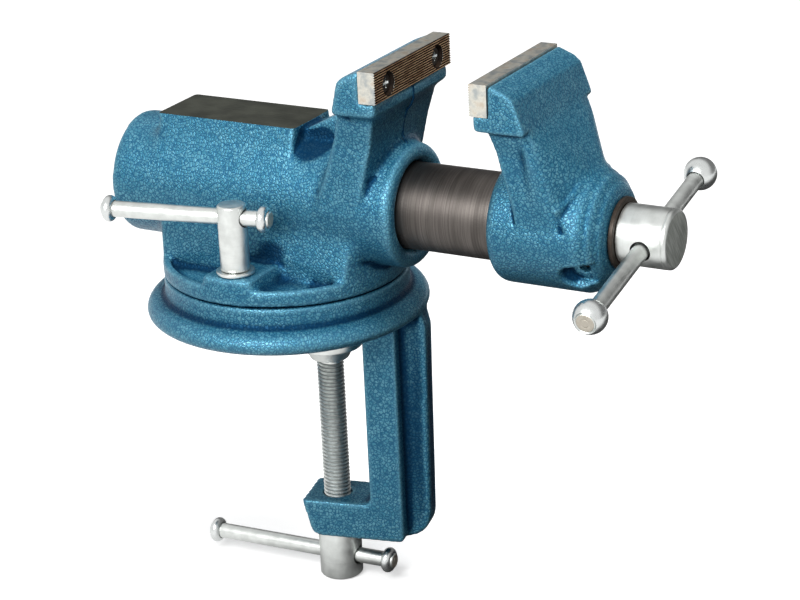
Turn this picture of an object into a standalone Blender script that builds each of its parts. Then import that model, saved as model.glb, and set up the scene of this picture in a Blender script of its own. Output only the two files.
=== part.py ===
"""A portable bench vise with a swivel base and a bench clamp, in metres.

+X runs along the slide towards the main handle and +Z is up. The origin lies on the swivel axis, in the
flat underside that sits on the bench. The base casting stands turned about that axis, as it was set.
"""

import math

import bmesh
import bpy
from mathutils import Vector

# Clearances and cutting
FIT_GAP = 0.0003
CUT_OVER = 0.004
LAP = 0.0012

# Facets of round shapes
LARGE_STEPS = 64
MEDIUM_STEPS = 36
SMALL_STEPS = 20

# Jaws
JAW_WIDTH = 0.075
JAW_OPENING = 0.0477
JAW_TOP_Z = 0.1393
FIXED_FACE_X = 0.0765
PLATE_HEIGHT = 0.0152
PLATE_THICKNESS = 0.009
PLATE_TEETH = 13
TOOTH_DEPTH = 0.0005
PLATE_SCREW_INSET = 0.01325
PLATE_SCREW_RADIUS = 0.0023
PLATE_SCREW_LENGTH = 0.014
SCREW_HEAD_RADIUS = 0.0047
SCREW_HEAD_DEPTH = 0.0028
SCREW_RECESS_WIDTH = 0.0011
SCREW_RECESS_DEPTH = 0.0016
LEDGE_BACK = 0.0037
LEDGE_PROUD = 0.0022
LEDGE_RIDGE = 0.001
BLOCK_ROUND = 0.0014
MOVING_BLOCK_SWELL = 0.0022
BLOCK_INSET = 0.0006
BLOCK_DEPTH = 0.0213
BLOCK_BELOW_PLATE = 0.0076
BLOCK_TOP_DROP = 0.0007

# Slide and fixed barrel
SLIDE_AXIS_Z = 0.064
SLIDE_RADIUS = 0.021
SLIDE_BORE_RADIUS = 0.013
SLIDE_REAR_X = -0.024
BARREL_RADIUS = 0.0304
BARREL_REAR_X = -0.0813
BARREL_REAR_WALL = 0.005
BARREL_ROUND = 0.0028
COLLAR_BACK = 0.0005
COLLAR_ROUND = 0.0034
BORE_CHAMFER = 0.0022

# Fixed jaw's neck: how far it stands back and out at its upper and lower levels
NECK_TOP_WIDTH = 0.067
NECK_WAIST_WIDTH = 0.0594
NECK_FOOT_WIDTH = 0.0618
NECK_WAIST_DROP = 0.0162
NECK_FRONT_LEAN = 0.243
NECK_REAR_LEAN = 0.328
NECK_RIDGE = 0.0016
GUSSET_WIDTH = 0.016

# Anvil
ANVIL_REAR_X = -0.0582
ANVIL_FRONT_X = 0.0194
ANVIL_WIDTH = 0.033
ANVIL_TOP_Z = 0.101
ANVIL_DRAFT = 0.0035
ANVIL_WALL = 0.011
ANVIL_FLARE = 0.0095
ANVIL_ROOT = 0.021

# Swivel foot of the body
FOOT_RADIUS = 0.061
FOOT_HEIGHT = 0.0084
FOOT_CHAMFER = 0.0005
PEDESTAL_WIDTH = 0.064
PEDESTAL_WAIST_WIDTH = 0.055
PEDESTAL_SHOULDER = 0.0181
PEDESTAL_TILT = -0.171
PEDESTAL_HEIGHT = 0.032
POCKET_FLOOR = 0.0042
POCKET_WALL = 0.0037
LUG_WIDTH = 0.0265
LUG_HEIGHT = 0.0132

# Base disc
BASE_TURN = math.radians(12.0)
DISC_HEIGHT = 0.0233
RIM_REACH = 0.0097
RIM_HEIGHT = 0.0125
RIM_UNDER_REACH = 0.014
RIM_FILLET = 0.0015
SLOT_INSET = 0.011
SLOT_MOUTH = 0.011
SLOT_WIDTH = 0.0176
SLOT_FLOOR = 0.0046
SLOT_HEIGHT = 0.0076
PORT_LENGTH = 0.02

# Clamp column and foot
COLUMN_INNER_X = 0.0413
COLUMN_DEPTH = 0.0175
COLUMN_WIDTH = 0.0285
RIB_WIDTH = 0.012
RIB_TOP_DEPTH = 0.0134
RIB_FOOT_DEPTH = 0.012
RIB_ROUND = 0.0135
RIB_RISE = 0.0072
CLAMP_REACH = 0.0986
CLAMP_FOOT_HEIGHT = 0.0199
CLAMP_FOOT_TIP_X = 0.005
CLAMP_FOOT_TIP_SLOPE = 0.0036
CLAMP_FOOT_ROUND = 0.006
COLUMN_ROUND = 0.003

# Clamp screw, pad and bar
CLAMP_AXIS_X = 0.0199
CLAMP_SCREW_RADIUS = 0.0069
CLAMP_HEAD_RADIUS = 0.011
CLAMP_HEAD_LENGTH = 0.0257
CLAMP_HEAD_GAP = 0.0005
CLAMP_HOLE_DROP = 0.0144
PAD_RADIUS = 0.017
PAD_TOP_DROP = 0.013
PAD_RIM = 0.0042
PAD_DEPTH = 0.0112
PAD_HUB_RADIUS = 0.0095
SOCKET_RADIUS = 0.005
SOCKET_MOUTH_RADIUS = 0.004
SOCKET_LIP = 0.0016
SOCKET_HEIGHT = 0.0094
SCREW_NECK_RADIUS = 0.0034
SCREW_BALL_RADIUS = 0.0046
SCREW_COLLAR_GAP = 0.0004

# Bars and their ends
BAR_RADIUS = 0.004
CROSS_HOLE_RADIUS = 0.005
KNOB_RADIUS = 0.0065
KNOB_LENGTH = 0.0062
KNOB_BUTTON_RADIUS = 0.0052
BALL_RADIUS = 0.008
BALL_FLAT_RADIUS = 0.0052
MAIN_BAR_NEAR = 0.0696
MAIN_BAR_FAR = 0.0594
MAIN_BAR_TILT = math.radians(11.8)
CLAMP_BAR_LEFT = 0.0733
CLAMP_BAR_RIGHT = 0.028
CLAMP_BAR_TURN = math.radians(2.9)
LOCK_BAR_LEFT = 0.0643
LOCK_BAR_RIGHT = 0.0168
LOCK_BAR_TURN = math.radians(9.7)

# Spindle and its nut
SPINDLE_RADIUS = 0.009
SPINDLE_HEAD_RADIUS = 0.0143
SPINDLE_HEAD_LENGTH = 0.0244
SPINDLE_HEAD_BEVEL = 0.0013
SPINDLE_THREAD_CLEARANCE = 0.0003
GROOVE_RADIUS = 0.0064
GROOVE_LENGTH = 0.0068
NUT_LENGTH = 0.026
NUT_LUG_WIDTH = 0.012
NUT_SEAT_DEPTH = 0.0036
THRUST_RING_RADIUS = 0.017
THRUST_RING_THICKNESS = 0.0021

# Moving jaw casting
MOVING_BARREL_RADIUS = 0.0296
MOVING_FRONT_BACK = 0.0009
MOVING_FRONT_ROUND = 0.0044
MOVING_END_WALL = 0.0157
MOVING_LENGTH = 0.0575
MOVING_END_ROUND = 0.0113
MOVING_END_FLAT_RADIUS = 0.018
FLANK_FOOT_WIDTH = 0.0574
BUTTRESS_REAR = 0.0473
GRUB_ANGLE = math.radians(30.0)
GRUB_BEFORE_END = 0.01
GRUB_RADIUS = 0.0027
GRUB_DOG_RADIUS = 0.0022
GRUB_OUTER = 0.0205
GRUB_FLOOR = 0.0236
GRUB_FLOOR_RADIUS = 0.0058
GRUB_SCOOP_RADIUS = 0.0078

# Swivel bolt, T-bolt and lock nut
BOLT_RADIUS = 0.005
SWIVEL_SHOULDER_RADIUS = 0.007
SWIVEL_HEAD_RADIUS = 0.012
SWIVEL_HEAD_HEIGHT = 0.0055
SWIVEL_BOLT_TOP_Z = 0.0495
SPANNER_HOLE_RADIUS = 0.0013
SPANNER_HOLE_DEPTH = 0.003
LOCK_X = 0.0023
T_HEAD_WIDTH = 0.0156
T_HEAD_LENGTH = 0.0165
T_HEAD_HEIGHT = 0.0066
T_BOLT_TOP_Z = 0.056
WASHER_RADIUS = 0.0093
WASHER_THICKNESS = 0.0016
LOCK_NUT_RADIUS = 0.0071
LOCK_NUT_TOP_Z = 0.0715
LOCK_NUT_BEVEL = 0.0006
LOCK_BAR_Z = 0.065
LOCK_CROSS_HOLE_RADIUS = 0.0047

# Places that follow from the sizes
MOVING_FACE_X = FIXED_FACE_X + JAW_OPENING
PLATE_BOTTOM_Z = JAW_TOP_Z - PLATE_HEIGHT
BLOCK_BOTTOM_Z = PLATE_BOTTOM_Z - BLOCK_BELOW_PLATE
BLOCK_HALF = JAW_WIDTH / 2 - BLOCK_INSET
COLLAR_X = FIXED_FACE_X - COLLAR_BACK
FOOT_BOTTOM_Z = DISC_HEIGHT + FIT_GAP
FOOT_TOP_Z = FOOT_BOTTOM_Z + FOOT_HEIGHT
LUG_TOP_Z = FOOT_BOTTOM_Z + LUG_HEIGHT
RIM_RADIUS = FOOT_RADIUS + RIM_REACH
SLOT_RADIUS = FOOT_RADIUS - SLOT_INSET
LOCK_AXIS_Y = -math.sqrt(SLOT_RADIUS**2 - LOCK_X**2)
MOVING_FRONT_X = MOVING_FACE_X + MOVING_FRONT_BACK
MOVING_END_X = MOVING_FACE_X + MOVING_LENGTH
SPINDLE_HEAD_X = MOVING_END_X + THRUST_RING_THICKNESS + 2 * FIT_GAP
CLAMP_FOOT_BOTTOM_Z = -CLAMP_REACH - CLAMP_FOOT_HEIGHT
CLAMP_HEAD_TOP_Z = CLAMP_FOOT_BOTTOM_Z - CLAMP_HEAD_GAP

# Colour, roughness and metallic value of each finish
FINISHES = {
    "hammer_paint": ((0.035, 0.16, 0.27, 1.0), 0.35, 0.25),
    "ground_steel": ((0.55, 0.53, 0.49, 1.0), 0.35, 1.0),
    "turned_steel": ((0.18, 0.17, 0.17, 1.0), 0.35, 1.0),
    "zinc_plate": ((0.72, 0.73, 0.71, 1.0), 0.3, 1.0),
    "polished_steel": ((0.8, 0.8, 0.8, 1.0), 0.12, 1.0),
    "black_steel": ((0.03, 0.027, 0.025, 1.0), 0.45, 1.0),
}


def clear_scene():
    """Removes whatever the scene holds."""
    for found in list(bpy.data.objects):
        bpy.data.objects.remove(found)


def finish(name):
    """The material of that finish, made once."""
    material = bpy.data.materials.get(name)
    if material:
        return material
    colour, roughness, metallic = FINISHES[name]
    material = bpy.data.materials.new(name)
    material.use_nodes = True
    shader = material.node_tree.nodes["Principled BSDF"]
    shader.inputs["Base Color"].default_value = colour
    shader.inputs["Roughness"].default_value = roughness
    shader.inputs["Metallic"].default_value = metallic
    return material


def empty(name, at, turn=0.0, parent=None):
    """An empty that carries a moving group at its joint's axis."""
    made = bpy.data.objects.new(name, None)
    bpy.context.scene.collection.objects.link(made)
    made.location = at
    made.rotation_euler = (0, 0, turn)
    made.parent = parent
    return made


def piece(name, bm, material=None, parent=None, at=(0, 0, 0), toward=None):
    """An object of the mesh, its faces turned outwards, with local +Z laid along the direction toward."""
    bmesh.ops.recalc_face_normals(bm, faces=bm.faces)
    mesh = bpy.data.meshes.new(name)
    bm.to_mesh(mesh)
    bm.free()
    mesh.shade_smooth()
    mesh.set_sharp_from_angle(angle=math.radians(30))
    made = bpy.data.objects.new(name, mesh)
    bpy.context.scene.collection.objects.link(made)
    if material:
        mesh.materials.append(finish(material))
    made.location = at
    if toward is not None:
        made.rotation_euler = Vector(toward).to_track_quat("Z", "Y").to_euler()
    made.parent = parent
    return made


def helper(target, made, operation):
    """Joins the shape made to the target, or cuts it out, in the target's own frame."""
    made.parent = target
    made.hide_render = True
    made.display_type = "WIRE"
    step = target.modifiers.new(made.name, "BOOLEAN")
    step.operation = operation
    step.solver = "EXACT"
    step.object = made


def join(target, bm, name, at=(0, 0, 0), toward=None):
    helper(target, piece(f"{target.name}_{name}", bm, at=at, toward=toward), "UNION")


def cut(target, bm, name, at=(0, 0, 0), toward=None):
    helper(target, piece(f"{target.name}_{name}", bm, at=at, toward=toward), "DIFFERENCE")


def turned(outline, steps, along="Z"):
    """The solid that (radius, height) points sweep round local Z or X. Radius 0 is its axis."""
    bm = bmesh.new()
    rings = []
    for radius, height in outline:
        ring = []
        for step in range(steps if radius > 0 else 1):
            angle = 2 * math.pi * step / steps
            across = (radius * math.cos(angle), radius * math.sin(angle))
            place = (height, *across) if along == "X" else (*across, height)
            ring.append(bm.verts.new(place))
        rings.append(ring)
    for lower, upper in zip(rings, rings[1:] + rings[:1]):
        for step in range(steps):
            after = (step + 1) % steps
            corners = [lower[step % len(lower)], lower[after % len(lower)]]
            corners += [upper[after % len(upper)], upper[step % len(upper)]]
            loop = []
            for corner in corners:
                if corner not in loop:
                    loop.append(corner)
            if len(loop) > 2:
                bm.faces.new(loop)
    return bm


def rod(radius, low, high, steps=SMALL_STEPS, along="Z"):
    """A plain cylinder between two heights."""
    return turned([(0, low), (radius, low), (radius, high), (0, high)], steps, along)


def hull(points):
    """The smallest convex solid round the points."""
    bm = bmesh.new()
    for point in points:
        bm.verts.new(point)
    made = bmesh.ops.convex_hull(bm, input=bm.verts)
    inside = [v for v in made["geom_interior"] if isinstance(v, bmesh.types.BMVert)]
    bmesh.ops.delete(bm, geom=inside, context="VERTS")
    return bm


def loft(sections):
    """The solid that runs through closed sections, which all have the same number of points."""
    bm = bmesh.new()
    loops = [[bm.verts.new(point) for point in section] for section in sections]
    bm.faces.new(loops[0])
    bm.faces.new(loops[-1][::-1])
    for lower, upper in zip(loops, loops[1:]):
        for index in range(len(lower)):
            after = (index + 1) % len(lower)
            bm.faces.new([lower[index], upper[index], upper[after], lower[after]])
    return bm


def prism(outline, low, high, along="Z"):
    """The outline's solid between two planes. The outline is in XY for Z, and in XZ for Y."""
    if along == "Z":
        return loft([[(a, b, height) for a, b in outline] for height in (low, high)])
    return loft([[(a, height, b) for a, b in outline] for height in (low, high)])


def block(low, high):
    """A box between two corners."""
    outline = [(low[0], low[1]), (high[0], low[1]), (high[0], high[1]), (low[0], high[1])]
    return prism(outline, low[2], high[2])


def arc(centre, radius, start, end, steps):
    """Points on a circle from one angle to another, both ends included, angles in degrees."""
    points = []
    for step in range(steps + 1):
        angle = math.radians(start + (end - start) * step / steps)
        points.append((centre[0] + radius * math.cos(angle), centre[1] + radius * math.sin(angle)))
    return points


def rectangle(x_low, x_high, width, height):
    """The four corners, in order, of a level rectangle that is centred on the XZ plane."""
    half = width / 2
    return [(x_low, -half, height), (x_high, -half, height), (x_high, half, height), (x_low, half, height)]


# The base: disc with its T-slot, clamp column and foot in one casting
def disc_outline():
    """Radius and height along the disc's section, from the bolt's counterbore round to the T-slot."""
    bead = RIM_HEIGHT * 0.54
    bead_centre = (RIM_RADIUS - bead, RIM_HEIGHT - bead)
    chamber = (SLOT_RADIUS - SLOT_WIDTH / 2, SLOT_RADIUS + SLOT_WIDTH / 2)
    mouth = (SLOT_RADIUS - SLOT_MOUTH / 2, SLOT_RADIUS + SLOT_MOUTH / 2)
    chamber_top = SLOT_FLOOR + SLOT_HEIGHT
    counterbore = (SWIVEL_HEAD_RADIUS + FIT_GAP, SWIVEL_HEAD_HEIGHT + FIT_GAP)
    hole = SWIVEL_SHOULDER_RADIUS + FIT_GAP
    outline = [(counterbore[0], 0)]
    for across, up in arc((0, 0), 1, -90, 0, 5):
        radius = RIM_RADIUS - RIM_UNDER_REACH * (1 - across)
        outline.append((radius, bead_centre[1] * (1 + up)))
    outline += arc(bead_centre, bead, 0, 90, 5)[1:]
    fillet_centre = (FOOT_RADIUS + RIM_FILLET, RIM_HEIGHT + RIM_FILLET)
    outline += arc(fillet_centre, RIM_FILLET, 270, 180, 2)[1:]
    outline += [(FOOT_RADIUS, DISC_HEIGHT - FOOT_CHAMFER), (FOOT_RADIUS - FOOT_CHAMFER, DISC_HEIGHT)]
    outline += [(mouth[1], DISC_HEIGHT), (mouth[1], chamber_top), (chamber[1], chamber_top)]
    outline += [(chamber[1], SLOT_FLOOR), (chamber[0], SLOT_FLOOR), (chamber[0], chamber_top)]
    outline += [(mouth[0], chamber_top), (mouth[0], DISC_HEIGHT), (hole, DISC_HEIGHT)]
    outline += [(hole, counterbore[1]), (counterbore[0], counterbore[1])]
    return outline


def clamp_outline():
    """Column and foot in the base's XZ plane."""
    outer_x = COLUMN_INNER_X + COLUMN_DEPTH
    top = SLOT_FLOOR / 2
    bottom = CLAMP_FOOT_BOTTOM_Z
    foot_top = -CLAMP_REACH
    corner = (outer_x - COLUMN_ROUND, bottom + COLUMN_ROUND)
    tip_foot_x = CLAMP_FOOT_TIP_X + CLAMP_FOOT_TIP_SLOPE
    tip_corner = (tip_foot_x + CLAMP_FOOT_ROUND, bottom + CLAMP_FOOT_ROUND)
    inner = (COLUMN_INNER_X - COLUMN_ROUND, foot_top + COLUMN_ROUND)
    outline = [(COLUMN_INNER_X, top), (outer_x, top)]
    outline += arc(corner, COLUMN_ROUND, 0, -90, 3)
    outline += arc(tip_corner, CLAMP_FOOT_ROUND, 270, 197, 3)
    outline += [(CLAMP_FOOT_TIP_X, foot_top)]
    outline += arc(inner, COLUMN_ROUND, -90, 0, 3)
    return outline


def rib_outline():
    """The column's outer rib in the base's XZ plane, rounded at the foot."""
    outer_x = COLUMN_INNER_X + COLUMN_DEPTH
    top_x = outer_x + RIB_TOP_DEPTH
    foot_x = outer_x + RIB_FOOT_DEPTH
    bottom = CLAMP_FOOT_BOTTOM_Z + FIT_GAP
    centre = (foot_x - RIB_ROUND, bottom + RIB_ROUND)
    wall_x = SLOT_RADIUS + SLOT_WIDTH / 2 + LAP * 2
    floor = SLOT_FLOOR / 2 - FIT_GAP
    outline = [(outer_x - LAP, floor), (wall_x, floor), (wall_x, RIB_RISE)]
    outline += [(RIM_RADIUS - LAP, RIB_RISE), (top_x, -RIB_RISE / 2)]
    outline += arc(centre, RIB_ROUND, 0, -90, 7)
    outline += [(outer_x - COLUMN_ROUND * 2, bottom + LAP)]
    return outline


def make_base(carrier):
    base = piece("clamp_base", turned(disc_outline(), LARGE_STEPS), "hammer_paint", carrier)
    join(base, prism(clamp_outline(), -COLUMN_WIDTH / 2, COLUMN_WIDTH / 2, "Y"), "column")
    join(base, prism(rib_outline(), -RIB_WIDTH / 2, RIB_WIDTH / 2, "Y"), "rib")
    hole = rod(
        CLAMP_SCREW_RADIUS + FIT_GAP,
        CLAMP_FOOT_BOTTOM_Z - CUT_OVER,
        CUT_OVER - CLAMP_REACH,
        MEDIUM_STEPS,
    )
    cut(base, hole, "screw_hole", at=(CLAMP_AXIS_X, 0, 0))
    port_low = (-PORT_LENGTH / 2, SLOT_RADIUS - SLOT_WIDTH / 2 + FIT_GAP, SLOT_FLOOR + FIT_GAP)
    port_high = (PORT_LENGTH / 2, SLOT_RADIUS + SLOT_WIDTH / 2 - FIT_GAP, DISC_HEIGHT + CUT_OVER)
    cut(base, block(port_low, port_high), "loading_port")


# Clamp pad, screw and bar
def make_clamp(carrier):
    """The group that the clamp screw carries. Its local origin is on the screw's axis."""
    axis = empty("clamp_axis", (CLAMP_AXIS_X, 0, 0), parent=carrier)
    top = -PAD_TOP_DROP
    bottom = top - PAD_DEPTH
    socket_top = bottom + SOCKET_HEIGHT
    mouth_top = bottom + SOCKET_LIP
    pad_round = PAD_RIM / 4
    pad = [(0, top), (PAD_RADIUS - pad_round, top), (PAD_RADIUS, top - pad_round)]
    pad += [(PAD_RADIUS, top - PAD_RIM + pad_round), (PAD_RADIUS - pad_round, top - PAD_RIM)]
    pad += [(PAD_HUB_RADIUS, bottom), (SOCKET_MOUTH_RADIUS, bottom), (SOCKET_MOUTH_RADIUS, mouth_top)]
    pad += [(SOCKET_RADIUS, mouth_top + LAP), (SOCKET_RADIUS, socket_top), (0, socket_top)]
    piece("clamp_pad", turned(pad, MEDIUM_STEPS), "zinc_plate", axis)

    head_bottom = CLAMP_HEAD_TOP_Z - CLAMP_HEAD_LENGTH
    bevel = SPINDLE_HEAD_BEVEL
    ball_top = socket_top - FIT_GAP
    ball_centre = ball_top - SCREW_BALL_RADIUS
    ball_foot = -math.sqrt(SCREW_BALL_RADIUS**2 - SCREW_NECK_RADIUS**2)
    ball_start = math.degrees(math.atan2(ball_foot, SCREW_NECK_RADIUS))
    ball = arc((0, ball_centre), SCREW_BALL_RADIUS, ball_start, 75, 6)
    thread_top = bottom - SCREW_COLLAR_GAP
    screw = [(0, head_bottom), (CLAMP_HEAD_RADIUS - bevel, head_bottom)]
    screw += [(CLAMP_HEAD_RADIUS, head_bottom + bevel), (CLAMP_HEAD_RADIUS, CLAMP_HEAD_TOP_Z)]
    screw += [(CLAMP_SCREW_RADIUS, CLAMP_HEAD_TOP_Z), (CLAMP_SCREW_RADIUS, thread_top - bevel)]
    screw += [(CLAMP_SCREW_RADIUS - bevel, thread_top), (SCREW_NECK_RADIUS, thread_top)]
    screw += ball + [(0, ball_top)]
    made = piece("clamp_screw", turned(screw, MEDIUM_STEPS), "zinc_plate", axis)
    bar_z = CLAMP_HEAD_TOP_Z - CLAMP_HOLE_DROP
    local_turn = CLAMP_BAR_TURN - BASE_TURN
    along = Vector((math.cos(local_turn), math.sin(local_turn), 0))
    hole = rod(CROSS_HOLE_RADIUS, -CLAMP_HEAD_RADIUS - CUT_OVER, CLAMP_HEAD_RADIUS + CUT_OVER)
    cut(made, hole, "cross_hole", at=(0, 0, bar_z), toward=along)
    make_bar("clamp_bar", axis, (0, 0, bar_z), along, CLAMP_BAR_LEFT, CLAMP_BAR_RIGHT, knob_outline())


# Sliding bars
def knob_outline():
    """An upset knob on a bar: a round bead with a raised button, its inner face at height 0."""
    bore = BAR_RADIUS + FIT_GAP
    bead = KNOB_LENGTH * 0.72
    outline = [(bore, 0)]
    outline += arc((KNOB_RADIUS - bead / 2, bead / 2), bead / 2, -80, 80, 6)
    outline += [(KNOB_BUTTON_RADIUS, bead), (KNOB_BUTTON_RADIUS, KNOB_LENGTH - FIT_GAP)]
    outline += [(KNOB_BUTTON_RADIUS - FIT_GAP, KNOB_LENGTH), (bore, KNOB_LENGTH)]
    return outline


def ball_outline():
    """A ball on a bar with its outer end cut flat, its inner end at height 0."""
    bore = BAR_RADIUS + FIT_GAP
    inner = math.sqrt(BALL_RADIUS**2 - bore**2)
    start = math.degrees(math.atan2(-inner, bore))
    outer = math.sqrt(BALL_RADIUS**2 - BALL_FLAT_RADIUS**2)
    end = math.degrees(math.atan2(outer, BALL_FLAT_RADIUS))
    return arc((0, inner), BALL_RADIUS, start, end, 12) + [(bore, inner + outer)]


def make_bar(name, parent, centre, along, left, right, end_outline):
    """A bar through a cross hole with an end on each side, left and right measured to the ends' middles."""
    axis = empty(f"{name}_axis", centre, parent=parent)
    length = max(height for _, height in end_outline)
    low = -left - length / 2
    high = right + length / 2
    outline = [(0, low), (BAR_RADIUS - FIT_GAP, low), (BAR_RADIUS, low + FIT_GAP)]
    outline += [(BAR_RADIUS, high - FIT_GAP), (BAR_RADIUS - FIT_GAP, high), (0, high)]
    piece(name, turned(outline, SMALL_STEPS), "zinc_plate", axis, toward=along)
    for side, outward, reach in (("left", -along, left), ("right", along, right)):
        at = outward * (reach - length / 2)
        piece(f"{name}_{side}_end", turned(end_outline, SMALL_STEPS), "polished_steel", axis, at, outward)


# Jaw plates and their screws
def facing(outline, outward):
    """An outline of (radius, height) points with its heights counted along outward."""
    return [(radius, outward * height) for radius, height in outline]


def plate_outline(face_x, outward):
    """A plate's section in XZ: a serrated gripping face and a flat back."""
    back_x = face_x - outward * PLATE_THICKNESS
    pitch = PLATE_HEIGHT / PLATE_TEETH
    outline = [(back_x, PLATE_BOTTOM_Z)]
    for tooth in range(PLATE_TEETH):
        low = PLATE_BOTTOM_Z + tooth * pitch
        outline += [(face_x - outward * TOOTH_DEPTH, low), (face_x, low + pitch * 0.35)]
        outline += [(face_x, low + pitch * 0.65)]
    outline += [(face_x - outward * TOOTH_DEPTH, JAW_TOP_Z), (back_x, JAW_TOP_Z)]
    return outline


def screw_places():
    """Name, y and z of each plate screw."""
    height = PLATE_BOTTOM_Z + PLATE_HEIGHT * 0.46
    reach = JAW_WIDTH / 2 - PLATE_SCREW_INSET
    return [("near", -reach, height), ("far", reach, height)]


def make_plate(jaw, face_x, outward, carrier=None, drop=0):
    """One jaw plate with two countersunk screws, whose heads look along outward."""
    outline = plate_outline(face_x, outward)
    bm = prism(outline, -JAW_WIDTH / 2, JAW_WIDTH / 2, "Y")
    plate = piece(f"{jaw}_jaw_plate", bm, "ground_steel", carrier, (0, 0, -drop))
    head_top = -TOOTH_DEPTH - FIT_GAP * 2
    head_bottom = head_top - SCREW_HEAD_DEPTH
    shank = PLATE_SCREW_RADIUS
    sink = SCREW_HEAD_RADIUS + FIT_GAP
    for side, y, z in screw_places():
        hole = [(0, -PLATE_THICKNESS - CUT_OVER), (shank + FIT_GAP, -PLATE_THICKNESS - CUT_OVER)]
        hole += [(shank + FIT_GAP, head_bottom - FIT_GAP), (sink, head_top - FIT_GAP)]
        hole += [(sink, CUT_OVER), (0, CUT_OVER)]
        cut(plate, turned(facing(hole, outward), SMALL_STEPS, "X"), f"hole_{side}", (face_x, y, z))
        body = [(0, head_top - PLATE_SCREW_LENGTH), (shank, head_top - PLATE_SCREW_LENGTH)]
        body += [(shank, head_bottom), (SCREW_HEAD_RADIUS, head_top), (0, head_top)]
        bm = turned(facing(body, outward), SMALL_STEPS, "X")
        screw = piece(f"{jaw}_plate_screw_{side}", bm, "black_steel", carrier, (face_x, y, z - drop))
        reach = SCREW_HEAD_RADIUS * 0.55
        half = SCREW_RECESS_WIDTH / 2
        near = outward * (head_top - SCREW_RECESS_DEPTH)
        far = outward * CUT_OVER
        for name, wide, high in (("slot", reach, half), ("cross_slot", half, reach)):
            low_corner = (min(near, far), -wide, -high)
            high_corner = (max(near, far), wide, high)
            cut(screw, block(low_corner, high_corner), name)


def cut_screw_holes(casting, face_x, outward):
    """Threaded holes behind a plate."""
    back = -PLATE_THICKNESS
    depth = PLATE_SCREW_LENGTH - PLATE_THICKNESS + CUT_OVER
    radius = PLATE_SCREW_RADIUS + FIT_GAP
    hole = [(0, back - depth), (radius, back - depth), (radius, back + CUT_OVER), (0, back + CUT_OVER)]
    for side, y, z in screw_places():
        bm = turned(facing(hole, outward), SMALL_STEPS, "X")
        cut(casting, bm, f"screw_hole_{side}", (face_x, y, z))


# Fixed jaw casting: foot, pedestal, barrel, anvil, neck and jaw block
def block_section(face_x, outward, y, ridge, swell):
    """A jaw block's section at y, with its plate's rebate. The ledge below comes forward by ridge, and the
    rear's foot stands back by swell."""
    seat_x = face_x - outward * (PLATE_THICKNESS + FIT_GAP)
    ledge_x = face_x - outward * (LEDGE_BACK - LEDGE_PROUD - ridge)
    rear_x = face_x - outward * (LEDGE_BACK + BLOCK_DEPTH)
    foot_x = rear_x - outward * swell
    seat_z = PLATE_BOTTOM_Z - FIT_GAP
    top_z = JAW_TOP_Z - BLOCK_TOP_DROP
    shoulder_x = seat_x - outward * PLATE_THICKNESS
    brow_x = rear_x + outward * BLOCK_DEPTH * 0.16
    corner = outward * BLOCK_ROUND
    outline = [(ledge_x - corner, BLOCK_BOTTOM_Z), (ledge_x, BLOCK_BOTTOM_Z + BLOCK_ROUND)]
    outline += [(ledge_x, seat_z), (seat_x, seat_z), (seat_x, top_z - BLOCK_ROUND / 2)]
    outline += [(seat_x - corner / 2, top_z), (shoulder_x, top_z - PLATE_HEIGHT * 0.22)]
    outline += [(brow_x, top_z - PLATE_HEIGHT * 0.4), (foot_x, BLOCK_BOTTOM_Z + BLOCK_ROUND)]
    outline += [(foot_x + corner, BLOCK_BOTTOM_Z)]
    return [(x, y, z) for x, z in outline]


def jaw_block(face_x, outward, swell=0):
    """A jaw block, whose ledge comes to a low ridge at the middle plane, where the mould parts."""
    sections = [block_section(face_x, outward, -BLOCK_HALF, 0, swell)]
    sections.append(block_section(face_x, outward, 0, LEDGE_RIDGE, swell))
    sections.append(block_section(face_x, outward, BLOCK_HALF, 0, swell))
    return loft(sections)


def neck_section(height, width):
    """The fixed jaw's neck at a height, in order from the near rear corner: it leans back going down."""
    drop = BLOCK_BOTTOM_Z - height
    ledge_x = FIXED_FACE_X - LEDGE_BACK
    front = ledge_x - LAP - drop * NECK_FRONT_LEAN
    rear = ledge_x - BLOCK_DEPTH + LAP - drop * NECK_REAR_LEAN
    half = width / 2
    outline = [(rear, -half), (front, -half), (front + NECK_RIDGE, 0), (front, half), (rear, half)]
    return [(x, y, height) for x, y in outline]


def make_neck():
    """The neck from inside the barrel up into the jaw block, pinched at the waist."""
    waist = BLOCK_BOTTOM_Z - NECK_WAIST_DROP
    sections = [neck_section(SLIDE_AXIS_Z, NECK_FOOT_WIDTH), neck_section(waist, NECK_WAIST_WIDTH)]
    sections.append(neck_section(BLOCK_BOTTOM_Z - LAP * 2, NECK_TOP_WIDTH - LAP * 2))
    sections.append(neck_section(BLOCK_BOTTOM_Z + LAP / 2, NECK_TOP_WIDTH))
    return loft(sections)


def clipped_circle(radius, width, height, tilt=0, steps=9):
    """A circle cut off at plus and minus half a width in Y. It is level, or rises by tilt along X."""
    edge = math.degrees(math.asin(width / 2 / radius))
    points = arc((0, 0), radius, -edge, edge, steps) + arc((0, 0), radius, 180 - edge, 180 + edge, steps)
    return [(x, y, height + x * tilt) for x, y in points]


def pocket_outline(start_x, side_x, side_y):
    """A scoop in one quarter of the foot, between the pedestal, the outer wall and the lug."""
    inner_y = PEDESTAL_WIDTH / 2 - LAP
    radius = FOOT_RADIUS - POCKET_WALL
    start = math.degrees(math.asin(inner_y / radius))
    end = math.degrees(math.acos(start_x / radius))
    points = [(start_x, inner_y)] + arc((0, 0), radius, start, end, 6)
    return [(x * side_x, y * side_y) for x, y in points]


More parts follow.
